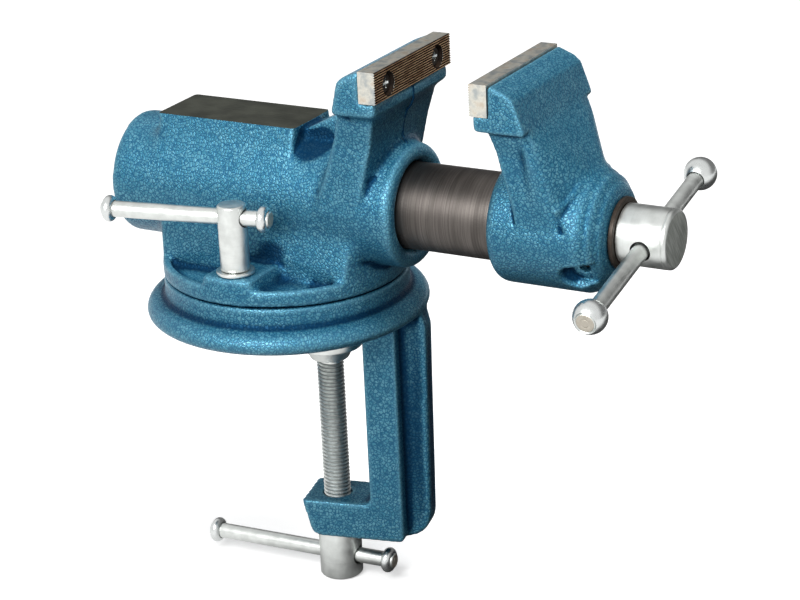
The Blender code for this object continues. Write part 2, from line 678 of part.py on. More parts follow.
def lug_outline():
    """The raised lug that the lock nut bears on."""
    radius = FOOT_RADIUS - FIT_GAP
    low = math.degrees(math.acos((LOCK_X - LUG_WIDTH / 2) / radius))
    high = math.degrees(math.acos((LOCK_X + LUG_WIDTH / 2) / radius))
    inner_y = -PEDESTAL_WIDTH / 2 + LAP
    outline = [(LOCK_X - LUG_WIDTH / 2, inner_y)] + arc((0, 0), radius, -low, -high, 6)
    return outline + [(LOCK_X + LUG_WIDTH / 2, inner_y)]


def make_fixed_jaw():
    """The foot with its four scoops comes first, and the shapes above are joined to it."""
    corner = FOOT_RADIUS - FOOT_CHAMFER
    foot = [(0, FOOT_BOTTOM_Z), (corner, FOOT_BOTTOM_Z), (FOOT_RADIUS, FOOT_BOTTOM_Z + FOOT_CHAMFER)]
    foot += [(FOOT_RADIUS, FOOT_TOP_Z - FOOT_CHAMFER), (corner, FOOT_TOP_Z), (0, FOOT_TOP_Z)]
    body = piece("fixed_jaw_body", turned(foot, LARGE_STEPS), "hammer_paint")
    for side_x, lug_edge in ((1, LUG_WIDTH / 2 + LOCK_X), (-1, LUG_WIDTH / 2 - LOCK_X)):
        for side_y in (-1, 1):
            outline = pocket_outline(lug_edge - LAP, side_x, side_y)
            scoop = prism(outline, FOOT_TOP_Z - POCKET_FLOOR, FOOT_TOP_Z + CUT_OVER)
            cut(body, scoop, f"pocket_{side_x}_{side_y}")
    sunk = FOOT_BOTTOM_Z + LAP
    join(body, prism(lug_outline(), sunk, LUG_TOP_Z), "lug")
    pedestal = clipped_circle(FOOT_RADIUS - FIT_GAP, PEDESTAL_WIDTH, sunk)
    shoulder = sunk + PEDESTAL_SHOULDER
    pedestal += clipped_circle(FOOT_RADIUS - FIT_GAP, PEDESTAL_WIDTH, shoulder, PEDESTAL_TILT)
    pedestal += clipped_circle(FOOT_RADIUS - FIT_GAP, PEDESTAL_WAIST_WIDTH, sunk + PEDESTAL_HEIGHT)
    join(body, hull(pedestal), "pedestal")

    axis = (0, 0, SLIDE_AXIS_Z)
    inner = BARREL_RADIUS - BARREL_ROUND
    barrel = [(0, BARREL_REAR_X)]
    for distance, radius in arc((BARREL_REAR_X + BARREL_ROUND, inner), BARREL_ROUND, 180, 90, 3):
        barrel.append((radius, distance))
    front = (COLLAR_X - COLLAR_ROUND, BARREL_RADIUS - COLLAR_ROUND)
    for distance, radius in arc(front, COLLAR_ROUND, 90, 0, 4):
        barrel.append((radius, distance))
    barrel.append((0, COLLAR_X))
    join(body, turned(barrel, LARGE_STEPS, "X"), "barrel", axis)

    join(body, jaw_block(FIXED_FACE_X, 1), "block")
    join(body, make_neck(), "neck")
    wide = ANVIL_WIDTH + 2 * ANVIL_DRAFT
    low = ANVIL_TOP_Z - ANVIL_WALL
    root = ANVIL_WIDTH + 2 * ANVIL_FLARE
    sections = [rectangle(ANVIL_REAR_X, ANVIL_FRONT_X, root, ANVIL_TOP_Z - ANVIL_ROOT)]
    sections.append(rectangle(ANVIL_REAR_X, ANVIL_FRONT_X, wide, low))
    sections.append(rectangle(ANVIL_REAR_X, ANVIL_FRONT_X, ANVIL_WIDTH, ANVIL_TOP_Z))
    join(body, loft(sections), "anvil")
    rear = neck_section(BLOCK_BOTTOM_Z, 0)[0][0]
    gusset = rectangle(rear + LAP, rear + LAP * 2, GUSSET_WIDTH, BLOCK_BOTTOM_Z - LAP)
    gusset += rectangle(ANVIL_FRONT_X - LAP, rear + LAP, GUSSET_WIDTH, ANVIL_TOP_Z - ANVIL_DRAFT)
    gusset += rectangle(ANVIL_FRONT_X - LAP, rear, GUSSET_WIDTH, low + LAP)
    join(body, hull(gusset), "gusset")
    cut_fixed_bores(body)


def cut_fixed_bores(body):
    """The slide's bore, the nut's seat and the holes for bolts and screws."""
    bore = SLIDE_RADIUS + FIT_GAP
    blind = BARREL_REAR_X + BARREL_REAR_WALL
    outline = [(0, blind), (bore, blind), (bore, COLLAR_X - BORE_CHAMFER)]
    outline += [(bore + BORE_CHAMFER + CUT_OVER, COLLAR_X + CUT_OVER), (0, COLLAR_X + CUT_OVER)]
    cut(body, turned(outline, LARGE_STEPS, "X"), "bore", (0, 0, SLIDE_AXIS_Z))
    half_x = NUT_LENGTH / 2 + FIT_GAP
    half_y = NUT_LUG_WIDTH / 2 + FIT_GAP
    seat_low = SLIDE_AXIS_Z - bore - NUT_SEAT_DEPTH - FIT_GAP
    cut(body, block((-half_x, -half_y, seat_low), (half_x, half_y, SLIDE_AXIS_Z)), "nut_seat")
    bolt_hole = rod(BOLT_RADIUS + FIT_GAP, FOOT_BOTTOM_Z - CUT_OVER, seat_low + CUT_OVER)
    cut(body, bolt_hole, "swivel_hole")
    lock_hole = rod(BOLT_RADIUS + FIT_GAP, FOOT_BOTTOM_Z - CUT_OVER, LUG_TOP_Z + CUT_OVER)
    cut(body, lock_hole, "lock_hole", (LOCK_X, LOCK_AXIS_Y, 0))
    cut_screw_holes(body, FIXED_FACE_X, 1)


# Spindle nut, swivel bolt, T-bolt and lock
def make_nut():
    """The nut sits inside the slide, and its lug reaches down through the slide's slot to its seat."""
    half = NUT_LENGTH / 2
    round_part = rod(SLIDE_BORE_RADIUS - FIT_GAP, -half, half, MEDIUM_STEPS, "X")
    nut = piece("spindle_nut", round_part, "black_steel", at=(0, 0, SLIDE_AXIS_Z))
    lug_low = -SLIDE_RADIUS - FIT_GAP - NUT_SEAT_DEPTH
    reach = half - LAP / 2
    wide = NUT_LUG_WIDTH / 2
    lug = block((-reach, -wide, lug_low), (reach, wide, -SPINDLE_RADIUS - LAP))
    join(nut, lug, "lug")
    depth = SWIVEL_BOLT_TOP_Z + FIT_GAP - SLIDE_AXIS_Z
    cut(nut, rod(BOLT_RADIUS + FIT_GAP, lug_low - CUT_OVER, depth), "bolt_hole")
    thread = SPINDLE_RADIUS + SPINDLE_THREAD_CLEARANCE
    cut(nut, rod(thread, -half - CUT_OVER, half + CUT_OVER, MEDIUM_STEPS, "X"), "thread")


def make_swivel_bolt():
    """The pivot: its head lies flush in the disc's underside and its thread holds body and nut together."""
    shoulder_top = FOOT_BOTTOM_Z - FIT_GAP
    outline = [(0, 0), (SWIVEL_HEAD_RADIUS, 0), (SWIVEL_HEAD_RADIUS, SWIVEL_HEAD_HEIGHT)]
    outline += [(SWIVEL_SHOULDER_RADIUS, SWIVEL_HEAD_HEIGHT), (SWIVEL_SHOULDER_RADIUS, shoulder_top)]
    outline += [(BOLT_RADIUS, shoulder_top), (BOLT_RADIUS, SWIVEL_BOLT_TOP_Z), (0, SWIVEL_BOLT_TOP_Z)]
    bolt = piece("swivel_bolt", turned(outline, SMALL_STEPS), "zinc_plate")
    reach = (SWIVEL_HEAD_RADIUS + SWIVEL_SHOULDER_RADIUS) / 2
    for side, x in (("front", reach), ("rear", -reach)):
        hole = rod(SPANNER_HOLE_RADIUS, -CUT_OVER, SPANNER_HOLE_DEPTH, SMALL_STEPS // 2)
        cut(bolt, hole, f"spanner_{side}", (x, 0, 0))


def make_lock():
    """The T-bolt in the disc's slot, its washer and the nut with a sliding bar."""
    place = (LOCK_X, LOCK_AXIS_Y, 0)
    head_low = SLOT_FLOOR + FIT_GAP
    head = block(
        (-T_HEAD_LENGTH / 2, -T_HEAD_WIDTH / 2, head_low),
        (T_HEAD_LENGTH / 2, T_HEAD_WIDTH / 2, head_low + T_HEAD_HEIGHT),
    )
    bolt = piece("t_bolt", head, "black_steel", at=place)
    join(bolt, rod(BOLT_RADIUS, head_low + T_HEAD_HEIGHT / 2, T_BOLT_TOP_Z), "shank")
    washer_low = LUG_TOP_Z + FIT_GAP
    washer_high = washer_low + WASHER_THICKNESS
    inner = BOLT_RADIUS + FIT_GAP
    round_off = WASHER_THICKNESS / 4
    washer = [(inner, washer_low), (WASHER_RADIUS - round_off, washer_low)]
    washer += [(WASHER_RADIUS, washer_low + round_off), (WASHER_RADIUS, washer_high - round_off)]
    washer += [(WASHER_RADIUS - round_off, washer_high), (inner, washer_high)]
    piece("lock_washer", turned(washer, MEDIUM_STEPS), "zinc_plate", at=place)

    axis = empty("lock_axis", place)
    low = washer_high + FIT_GAP
    top = LOCK_NUT_TOP_Z
    nut = [(inner, low), (LOCK_NUT_RADIUS, low), (LOCK_NUT_RADIUS, top - LOCK_NUT_BEVEL)]
    nut += [(LOCK_NUT_RADIUS - LOCK_NUT_BEVEL, top), (0, top), (0, T_BOLT_TOP_Z + FIT_GAP)]
    nut += [(inner, T_BOLT_TOP_Z + FIT_GAP)]
    made = piece("lock_nut", turned(nut, MEDIUM_STEPS), "zinc_plate", axis)
    along = Vector((math.cos(LOCK_BAR_TURN), math.sin(LOCK_BAR_TURN), 0))
    hole = rod(LOCK_CROSS_HOLE_RADIUS, -LOCK_NUT_RADIUS - CUT_OVER, LOCK_NUT_RADIUS + CUT_OVER)
    cut(made, hole, "cross_hole", (0, 0, LOCK_BAR_Z), along)
    make_bar("lock_bar", axis, (0, 0, LOCK_BAR_Z), along, LOCK_BAR_LEFT, LOCK_BAR_RIGHT, knob_outline())


# Moving jaw: casting, slide, retaining screw and thrust ring
def moving_barrel_outline():
    """The moving barrel from its rounded front to the domed end, along X."""
    radius = MOVING_BARREL_RADIUS
    outline = [(0, MOVING_FRONT_X)]
    front = (MOVING_FRONT_X + MOVING_FRONT_ROUND, radius - MOVING_FRONT_ROUND)
    for distance, out in arc(front, MOVING_FRONT_ROUND, 180, 90, 4):
        outline.append((out, distance))
    dome_start = MOVING_END_X - MOVING_END_ROUND
    fall = radius - MOVING_END_FLAT_RADIUS
    dome_shares = ((0.0, 1.0), (0.31, 0.86), (0.62, 0.63), (0.87, 0.33), (1.0, 0.0))
    for along, out in dome_shares:
        outline.append((MOVING_END_FLAT_RADIUS + fall * out, dome_start + MOVING_END_ROUND * along))
    return outline + [(0, MOVING_END_X)]


def moving_neck():
    """Three level sections of the moving jaw's neck, from the barrel up into the jaw block."""
    front_top = MOVING_FACE_X + LEDGE_BACK + BLOCK_DEPTH * 0.12
    rear_top = MOVING_FACE_X + LEDGE_BACK + BLOCK_DEPTH - LAP
    waist_drop = NECK_WAIST_DROP * 0.7
    foot_drop = BLOCK_BOTTOM_Z - SLIDE_AXIS_Z
    waist_front = front_top + waist_drop * NECK_FRONT_LEAN
    foot_front = front_top + foot_drop * NECK_FRONT_LEAN
    waist_rear = rear_top + BLOCK_DEPTH * 0.2
    foot_rear = MOVING_END_X - BLOCK_DEPTH * 0.77
    return [
        rectangle(foot_front, foot_rear, FLANK_FOOT_WIDTH, SLIDE_AXIS_Z),
        rectangle(waist_front, waist_rear, NECK_WAIST_WIDTH, BLOCK_BOTTOM_Z - waist_drop),
        rectangle(front_top, rear_top, NECK_TOP_WIDTH, BLOCK_BOTTOM_Z + LAP / 2),
    ]


def buttress_points(neck):
    """The sloping back: it leaves the jaw block's rear face, and runs down to the barrel's crown."""
    waist_rear = neck[1][1][0]
    rear_top = neck[2][1][0]
    wide = NECK_WAIST_WIDTH - LAP
    top_z = BLOCK_BOTTOM_Z + PLATE_HEIGHT / 2
    under_x = rear_top + MOVING_BLOCK_SWELL + LAP * 1.2
    points = rectangle(rear_top - LAP * 3, rear_top - LAP * 1.5, wide, top_z)
    points += rectangle(rear_top, under_x, NECK_TOP_WIDTH - LAP, BLOCK_BOTTOM_Z - LAP)
    points += rectangle(waist_rear - LAP, waist_rear + LAP, wide, neck[1][0][2])
    points += rectangle(waist_rear, neck[0][1][0] + FIT_GAP, FLANK_FOOT_WIDTH - LAP, SLIDE_AXIS_Z + LAP)
    crown = MOVING_FACE_X + BUTTRESS_REAR
    buttress_shares = ((0.0, 0.24, 0.94), (0.12, 0.44, 0.86), (0.24, 0.62, 0.72))
    for forward, across, up in buttress_shares:
        x = crown - BLOCK_DEPTH * forward
        z = SLIDE_AXIS_Z + MOVING_BARREL_RADIUS * up
        points += [(x, side * MOVING_BARREL_RADIUS * across, z) for side in (-1, 1)]
    return points


def make_moving_jaw(carrier):
    """The carrier stands on the slide's axis, so the casting's own origin is set below it."""
    neck = moving_neck()
    jaw = piece("moving_jaw_body", loft(neck), "hammer_paint", carrier, (0, 0, -SLIDE_AXIS_Z))
    join(jaw, hull(buttress_points(neck)), "buttress")
    axis = (0, 0, SLIDE_AXIS_Z)
    join(jaw, turned(moving_barrel_outline(), LARGE_STEPS, "X"), "barrel", axis)
    join(jaw, jaw_block(MOVING_FACE_X, -1, MOVING_BLOCK_SWELL), "block")
    cut_screw_holes(jaw, MOVING_FACE_X, -1)

    grub_x = MOVING_END_X - GRUB_BEFORE_END
    outward = Vector((0, -math.cos(GRUB_ANGLE), -math.sin(GRUB_ANGLE)))
    scoop = []
    reach = GRUB_BEFORE_END + CUT_OVER
    for height, radius in ((GRUB_FLOOR, GRUB_FLOOR_RADIUS), (MOVING_BARREL_RADIUS + LAP, GRUB_SCOOP_RADIUS)):
        centre_x = GRUB_FLOOR_RADIUS - radius * 1.2
        round_end = arc((centre_x, -radius / 4), radius, 90, 270, 7)
        scoop += [(x, y, height) for x, y in round_end]
        scoop += [(reach, radius * 0.75, height), (reach, -radius * 1.25, height)]
    cut(jaw, hull(scoop), "grub_scoop", (grub_x, 0, SLIDE_AXIS_Z), outward)
    hole = rod(GRUB_RADIUS + FIT_GAP, SPINDLE_RADIUS / 2, GRUB_FLOOR + CUT_OVER)
    cut(jaw, hole, "grub_hole", (grub_x, 0, SLIDE_AXIS_Z), outward)
    wall_x = MOVING_END_X - MOVING_END_WALL
    bore = [(0, MOVING_FRONT_X - CUT_OVER), (SLIDE_RADIUS + FIT_GAP, MOVING_FRONT_X - CUT_OVER)]
    bore += [(SLIDE_RADIUS + FIT_GAP, wall_x), (SPINDLE_RADIUS + FIT_GAP, wall_x)]
    bore += [(SPINDLE_RADIUS + FIT_GAP, MOVING_END_X + CUT_OVER), (0, MOVING_END_X + CUT_OVER)]
    cut(jaw, turned(bore, LARGE_STEPS, "X"), "bore", axis)
    tip = GROOVE_RADIUS + FIT_GAP
    thread_end = SPINDLE_RADIUS + FIT_GAP * 2
    grub = [(0, tip), (GRUB_DOG_RADIUS, tip), (GRUB_DOG_RADIUS, thread_end), (GRUB_RADIUS, thread_end)]
    grub += [(GRUB_RADIUS, GRUB_OUTER), (0, GRUB_OUTER)]
    at = (grub_x, 0, 0)
    screw = piece("spindle_retaining_screw", turned(grub, SMALL_STEPS), "black_steel", carrier, at, outward)
    cut(screw, rod(GRUB_RADIUS * 0.55, GRUB_OUTER - GRUB_RADIUS, GRUB_OUTER + CUT_OVER, 6), "socket")

    inner = SPINDLE_RADIUS + FIT_GAP * 2
    low = MOVING_END_X + FIT_GAP
    high = low + THRUST_RING_THICKNESS
    ring = [(inner, low), (THRUST_RING_RADIUS, low), (THRUST_RING_RADIUS, high), (inner, high)]
    piece("thrust_ring", turned(ring, MEDIUM_STEPS, "X"), "black_steel", carrier)


def make_slide(carrier):
    """The tube that carries the moving jaw, slotted underneath for the nut's lug."""
    rear = SLIDE_REAR_X
    front = MOVING_END_X - MOVING_END_WALL - FIT_GAP
    outline = [(SLIDE_BORE_RADIUS, rear), (SLIDE_RADIUS - FOOT_CHAMFER, rear)]
    outline += [(SLIDE_RADIUS, rear + FOOT_CHAMFER), (SLIDE_RADIUS, front - FOOT_CHAMFER)]
    outline += [(SLIDE_RADIUS - FOOT_CHAMFER, front), (SLIDE_BORE_RADIUS, front)]
    tube = piece("slide_tube", turned(outline, LARGE_STEPS, "X"), "turned_steel", carrier)
    half = NUT_LUG_WIDTH / 2 + FIT_GAP
    slot_end = NUT_LENGTH / 2 + JAW_OPENING + FIT_GAP * 2
    low = (rear - CUT_OVER, -half, -SLIDE_RADIUS - CUT_OVER)
    cut(tube, block(low, (slot_end, half, -SLIDE_BORE_RADIUS / 2)), "slot")


def make_spindle(jaw_carrier):
    """The main screw: thread, retaining groove, and the head that its bar slides through."""
    carrier = empty("spindle_axis", (SPINDLE_HEAD_X, 0, 0), parent=jaw_carrier)
    rear = SLIDE_REAR_X - SPINDLE_HEAD_X
    groove_x = MOVING_END_X - GRUB_BEFORE_END - SPINDLE_HEAD_X
    bevel = SPINDLE_HEAD_BEVEL
    radius = SPINDLE_RADIUS
    head = SPINDLE_HEAD_RADIUS
    length = SPINDLE_HEAD_LENGTH
    outline = [(0, rear), (radius - bevel, rear), (radius, rear + bevel)]
    outline += [(radius, groove_x - GROOVE_LENGTH / 2), (GROOVE_RADIUS, groove_x - GROOVE_LENGTH / 2)]
    outline += [(GROOVE_RADIUS, groove_x + GROOVE_LENGTH / 2), (radius, groove_x + GROOVE_LENGTH / 2)]
    outline += [(radius, 0), (head - bevel, 0), (head, bevel), (head, length - bevel)]
    outline += [(head - bevel, length), (0, length)]
    spindle = piece("spindle", turned(outline, MEDIUM_STEPS, "X"), "zinc_plate", carrier)
    along = Vector((0, math.cos(MAIN_BAR_TILT), math.sin(MAIN_BAR_TILT)))
    hole = rod(CROSS_HOLE_RADIUS, -head - CUT_OVER, head + CUT_OVER)
    centre = (length / 2, 0, 0)
    cut(spindle, hole, "cross_hole", centre, along)
    make_bar("main_bar", carrier, centre, along, MAIN_BAR_NEAR, MAIN_BAR_FAR, ball_outline())


def main():
    clear_scene()
    base_carrier = empty("base_axis", (0, 0, 0), BASE_TURN)
    make_base(base_carrier)
    make_clamp(base_carrier)
    make_fixed_jaw()
    make_nut()
    make_swivel_bolt()
    make_lock()
    make_plate("fixed", FIXED_FACE_X, 1)
    slide_carrier = empty("slide_axis", (0, 0, SLIDE_AXIS_Z))
    make_moving_jaw(slide_carrier)
    make_slide(slide_carrier)
    make_spindle(slide_carrier)
    make_plate("moving", MOVING_FACE_X, -1, slide_carrier, SLIDE_AXIS_Z)


main()
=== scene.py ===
"""A portable bench vise in blue hammered enamel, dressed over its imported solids."""

import math

import bmesh
import bpy
import numpy as np
from mathutils import Matrix, Vector


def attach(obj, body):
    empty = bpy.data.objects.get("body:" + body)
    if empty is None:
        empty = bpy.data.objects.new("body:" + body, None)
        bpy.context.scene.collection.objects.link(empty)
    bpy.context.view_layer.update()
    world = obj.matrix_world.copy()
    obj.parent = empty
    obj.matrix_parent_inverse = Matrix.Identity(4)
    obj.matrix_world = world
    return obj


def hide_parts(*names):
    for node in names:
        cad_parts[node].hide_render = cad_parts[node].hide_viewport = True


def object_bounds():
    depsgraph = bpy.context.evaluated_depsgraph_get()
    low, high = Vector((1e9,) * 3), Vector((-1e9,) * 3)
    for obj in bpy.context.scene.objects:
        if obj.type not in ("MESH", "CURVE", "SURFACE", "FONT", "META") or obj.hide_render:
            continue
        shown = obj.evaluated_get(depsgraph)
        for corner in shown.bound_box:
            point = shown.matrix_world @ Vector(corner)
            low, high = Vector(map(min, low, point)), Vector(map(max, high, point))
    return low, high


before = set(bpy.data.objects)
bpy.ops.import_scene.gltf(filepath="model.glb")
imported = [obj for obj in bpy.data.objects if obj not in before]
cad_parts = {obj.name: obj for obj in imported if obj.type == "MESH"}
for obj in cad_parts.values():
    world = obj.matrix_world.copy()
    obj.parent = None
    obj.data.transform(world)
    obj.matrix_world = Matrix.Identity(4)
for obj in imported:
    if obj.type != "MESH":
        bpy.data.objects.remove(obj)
cad_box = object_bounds()

MM = 0.001

# Places and sizes of the vise that its finer pieces repeat, in metres
SLIDE_Z = 64.0 * MM
SLIDE_RADIUS = 21.0 * MM
BORE_RADIUS = 21.3 * MM
COLLAR_X = 76.0 * MM
FIXED_FACE_X = 76.5 * MM
MOVING_FACE_X = 124.2 * MM
MOVING_FRONT_X = 125.1 * MM
MOVING_END_X = 181.7 * MM
HEAD_X = 184.4 * MM
ANVIL_TOP_Z = 101.0 * MM
PLATE_BOTTOM_Z = 124.1 * MM
JAW_TOP_Z = 139.3 * MM
JAW_HALF = 37.5 * MM
PLATE_THICKNESS = 9.0 * MM
PLATE_TEETH = 13
LOCK_X = 2.3 * MM
LOCK_Y = -49.947 * MM
CLAMP_X = 19.465 * MM
CLAMP_Y = 4.137 * MM
BARREL_END_RADIUS = 29.6 * MM
BORE_WALL_X = MOVING_END_X - 15.7 * MM
TUBE_REAR_X = -24 * MM
CLEARANCE = 0.3 * MM
FLAT_MARGIN = 0.02 * MM
VOXEL = 0.95 * MM
FINE_VOXEL = 0.75 * MM
SEAM_Z = 23.5 * MM
GRUB_X = 171.7 * MM
GRUB_ANGLE = math.radians(30)
PLATE_SCREW_HALF = 24.25 * MM
PLATE_SCREW_Z = PLATE_BOTTOM_Z + 15.2 * MM * 0.46

# Each bar's middle and the way that it points
MAIN_BAR_PLACE = (HEAD_X + 12.2 * MM, 0, SLIDE_Z)
MAIN_BAR_WAY = (0, math.cos(math.radians(11.8)), math.sin(math.radians(11.8)))
CLAMP_BAR_PLACE = (CLAMP_X, CLAMP_Y, -133.4 * MM)
CLAMP_BAR_WAY = (math.cos(math.radians(2.9)), math.sin(math.radians(2.9)), 0)
LOCK_BAR_PLACE = (LOCK_X, LOCK_Y, 65 * MM)
LOCK_BAR_WAY = (math.cos(math.radians(9.7)), math.sin(math.radians(9.7)), 0)

# Places where shade is painted on the enamel, in millimetres: a middle, its reach along X, Y and Z, and how
# deep it counts
BODY_SHADE_POOLS = [((27, -7, 91), (10, 14, 12), 0.9), ((11, -30, 42), (9, 7, 6), 0.5)]
BASE_SHADE_POOLS = [((69, 14, -62), (8, 19, 75), 0.4)]


# Small helpers
def linear(code):
    """A colour written as sRGB hex, turned to linear values."""
    values = [int(code[place:place + 2], 16) / 255 for place in (1, 3, 5)]
    return [v / 12.92 if v <= 0.04045 else ((v + 0.055) / 1.055) ** 2.4 for v in values] + [1.0]


def per(size_mm):
    """The texture scale at which one cell of the pattern is this many millimetres."""
    return 1 / (size_mm * MM)


def node(tree, kind, inputs=None, **settings):
    """Adds a node with its settings, and links or fills its inputs."""
    made = tree.nodes.new(kind)
    for name, value in settings.items():
        setattr(made, name, value)
    for key, value in (inputs or {}).items():
        socket = made.inputs[key]
        if isinstance(value, bpy.types.NodeSocket):
            tree.links.new(value, socket)
        else:
            socket.default_value = value
    return made


def noise(tree, place, size_mm, detail):
    """Cloudy noise from 0 to 1, with features of about this many millimetres."""
    inputs = {"Vector": place, "Scale": per(size_mm), "Detail": detail}
    return node(tree, "ShaderNodeTexNoise", inputs).outputs[0]


def streaks(tree, place, sizes_mm, detail):
    """Noise whose features have their own length along each of X, Y and Z."""
    drawn = node(tree, "ShaderNodeMapping", {"Vector": place, "Scale": [per(size) for size in sizes_mm]})
    inputs = {"Vector": drawn.outputs[0], "Scale": 1.0, "Detail": detail}
    return node(tree, "ShaderNodeTexNoise", inputs).outputs[0]


def blended(tree, share, low, high):
    """One colour or the other, by a share from 0 to 1."""
    mix = node(tree, "ShaderNodeMix", {0: share, 6: low, 7: high}, data_type="RGBA")
    return mix.outputs[2]


def spread(tree, value, low, high, to_low, to_high):
    """A value's range stretched to another range, smoothly."""
    inputs = {"Value": value, "From Min": low, "From Max": high, "To Min": to_low, "To Max": to_high}
    return node(tree, "ShaderNodeMapRange", inputs, interpolation_type="SMOOTHSTEP").outputs[0]


def material(name, **uniform):
    """A new material, its tree, its shader with the values that are the same all over, and where a point of
    the piece lies."""
    made = bpy.data.materials.new(name)
    made.use_nodes = True
    shader = made.node_tree.nodes["Principled BSDF"]
    for key, value in uniform.items():
        shader.inputs[key.replace("_", " ")].default_value = value
    return made, made.node_tree, shader, node(made.node_tree, "ShaderNodeTexCoord").outputs["Object"]


def surface(tree, shader, colour, roughness, height, depth_mm, strength):
    """Links colour, roughness and relief to the shader."""
    relief = {"Height": height, "Distance": depth_mm * MM, "Strength": strength}
    bump = node(tree, "ShaderNodeBump", relief)
    tree.links.new(colour, shader.inputs["Base Color"])
    tree.links.new(roughness, shader.inputs["Roughness"])
    tree.links.new(bump.outputs["Normal"], shader.inputs["Normal"])


# Materials
def hammered_enamel():
    """Hammer-finish enamel sprayed on rough iron: aluminium flake gathers into pale pebbles of 1 to 2 mm with
    bluer pits where they meet. It turns dark in the hollows, partly as pooled paint and partly as painted
    shade, and paler on the edges as a painted highlight."""
    made, tree, shader, place = material("hammered_enamel", Metallic=0.5, Coat_Roughness=0.16)
    drift = node(tree, "ShaderNodeTexNoise", {"Vector": place, "Scale": per(1.6), "Detail": 2.0})
    bend = {0: drift.outputs["Color"], 1: (1.2 * MM,) * 3, 2: place}
    bent = node(tree, "ShaderNodeVectorMath", bend, operation="MULTIPLY_ADD").outputs[0]
    pebbles = {"Vector": bent, "Scale": per(1.7)}
    rim = node(tree, "ShaderNodeTexVoronoi", pebbles, feature="DISTANCE_TO_EDGE").outputs["Distance"]
    tone = node(tree, "ShaderNodeTexVoronoi", pebbles, feature="F1").outputs["Color"]
    tone = node(tree, "ShaderNodeSeparateColor", {0: tone}).outputs[0]
    crown = spread(tree, rim, 0.0, 0.26, 0.0, 1.0)
    grain = noise(tree, place, 0.8, 2.0)
    height = node(tree, "ShaderNodeMath", {0: grain, 1: 0.8, 2: crown}, operation="MULTIPLY_ADD").outputs[0]
    broad = noise(tree, place, 9, 3.0)
    flake = blended(tree, tone, linear("#397991"), linear("#5c97ab"))
    flake = blended(tree, spread(tree, broad, 0.35, 0.65, 0.0, 0.5), flake, linear("#357791"))
    colour = blended(tree, spread(tree, height, 0.3, 1.3, 0.0, 1.0), linear("#1c5878"), flake)
    hollow_shade_edge_light = node(tree, "ShaderNodeAttribute", attribute_name="hollow").outputs["Fac"]
    # Painted shade, partly pooled paint: deep navy, with less sheen, where the stored hollow depth is high
    colour = blended(tree, spread(tree, hollow_shade_edge_light, 0.05, 0.45, 0.0, 0.9), colour, linear("#052847"))
    # Painted highlight: paler teal on the edges, where the stored depth is below 0
    colour = blended(tree, spread(tree, hollow_shade_edge_light, -0.1, -0.6, 0.0, 0.2), colour, linear("#7fbcd0"))
    tree.links.new(spread(tree, hollow_shade_edge_light, 0.03, 0.4, 0.2, 0.02), shader.inputs["Specular IOR Level"])
    tree.links.new(spread(tree, hollow_shade_edge_light, 0.03, 0.4, 0.1, 0.0), shader.inputs["Coat Weight"])
    roughness = spread(tree, crown, 0.0, 1.0, 0.46, 0.36)
    surface(tree, shader, colour, roughness, height, 0.2, 0.55)
    return made


def machined_iron():
    """Grey iron milled flat and oiled: a dark, slightly green metal with faint straight cutter marks."""
    made, tree, shader, place = material("machined_iron", Metallic=0.85)
    marks = streaks(tree, place, (9, 0.5, 9), 4.0)
    stains = noise(tree, place, 14, 4.0)
    share = spread(tree, stains, 0.3, 0.7, 0.0, 1.0)
    colour = blended(tree, share, linear("#3d4037"), linear("#585b50"))
    roughness = spread(tree, marks, 0.3, 0.7, 0.36, 0.5)
    surface(tree, shader, colour, roughness, marks, 0.02, 0.4)
    return made


def ground_steel():
    """Hardened steel ground bright, then handled: fine parallel scratches, and cloudy stains of grey-blue
    and brown."""
    made, tree, shader, place = material("ground_steel", Metallic=0.92)
    marks = streaks(tree, place, (0.5, 7, 0.5), 3.0)
    clouds = noise(tree, place, 5, 5.0)
    freckles = noise(tree, place, 1.4, 3.0)
    worn = blended(tree, marks, linear("#b4b1a5"), linear("#dcdad1"))
    worn = blended(tree, spread(tree, clouds, 0.45, 0.7, 0.0, 0.7), worn, linear("#8a949a"))
    worn = blended(tree, spread(tree, clouds, 0.5, 0.3, 0.0, 0.55), worn, linear("#b59f87"))
    share = spread(tree, freckles, 0.68, 0.8, 0.0, 0.6)
    colour = blended(tree, share, worn, linear("#6e5c48"))
    roughness = spread(tree, marks, 0.3, 0.7, 0.4, 0.52)
    surface(tree, shader, colour, roughness, marks, 0.02, 0.4)
    return made


def clouded_metal(name, pattern, reach, colours, rough, relief, **uniform):
    """A metal whose tint, sheen and relief all follow one noise. Its two colours part over the reach, or all
    the way from 0 to 1 if there is none."""
    made, tree, shader, place = material(name, **uniform)
    size, detail = pattern
    clouds = (streaks if isinstance(size, tuple) else noise)(tree, place, size, detail)
    share = spread(tree, clouds, *reach, 0.0, 1.0) if reach else clouds
    colour = blended(tree, share, *(linear(code) for code in colours))
    surface(tree, shader, colour, spread(tree, clouds, 0.3, 0.7, *rough), clouds, *relief)
    return made


def turned_slide_steel():
    """Steel tube turned and lightly oiled: dark neutral grey with fine rings from the tool and a few wider
    bands where its feed changed."""
    made, tree, shader, place = material("turned_slide_steel", Metallic=1.0)
    marks = streaks(tree, place, (0.45, 34, 34), 3.0)
    bands = streaks(tree, place, (5, 30, 30), 3.0)
    share = spread(tree, marks, 0.35, 0.65, 0.0, 1.0)
    tint = blended(tree, share, linear("#56514e"), linear("#66615d"))
    colour = blended(tree, spread(tree, bands, 0.42, 0.65, 0.0, 0.4), tint, linear("#3b3835"))
    roughness = spread(tree, marks, 0.3, 0.7, 0.48, 0.44)
    surface(tree, shader, colour, roughness, marks, 0.02, 0.4)
    return made


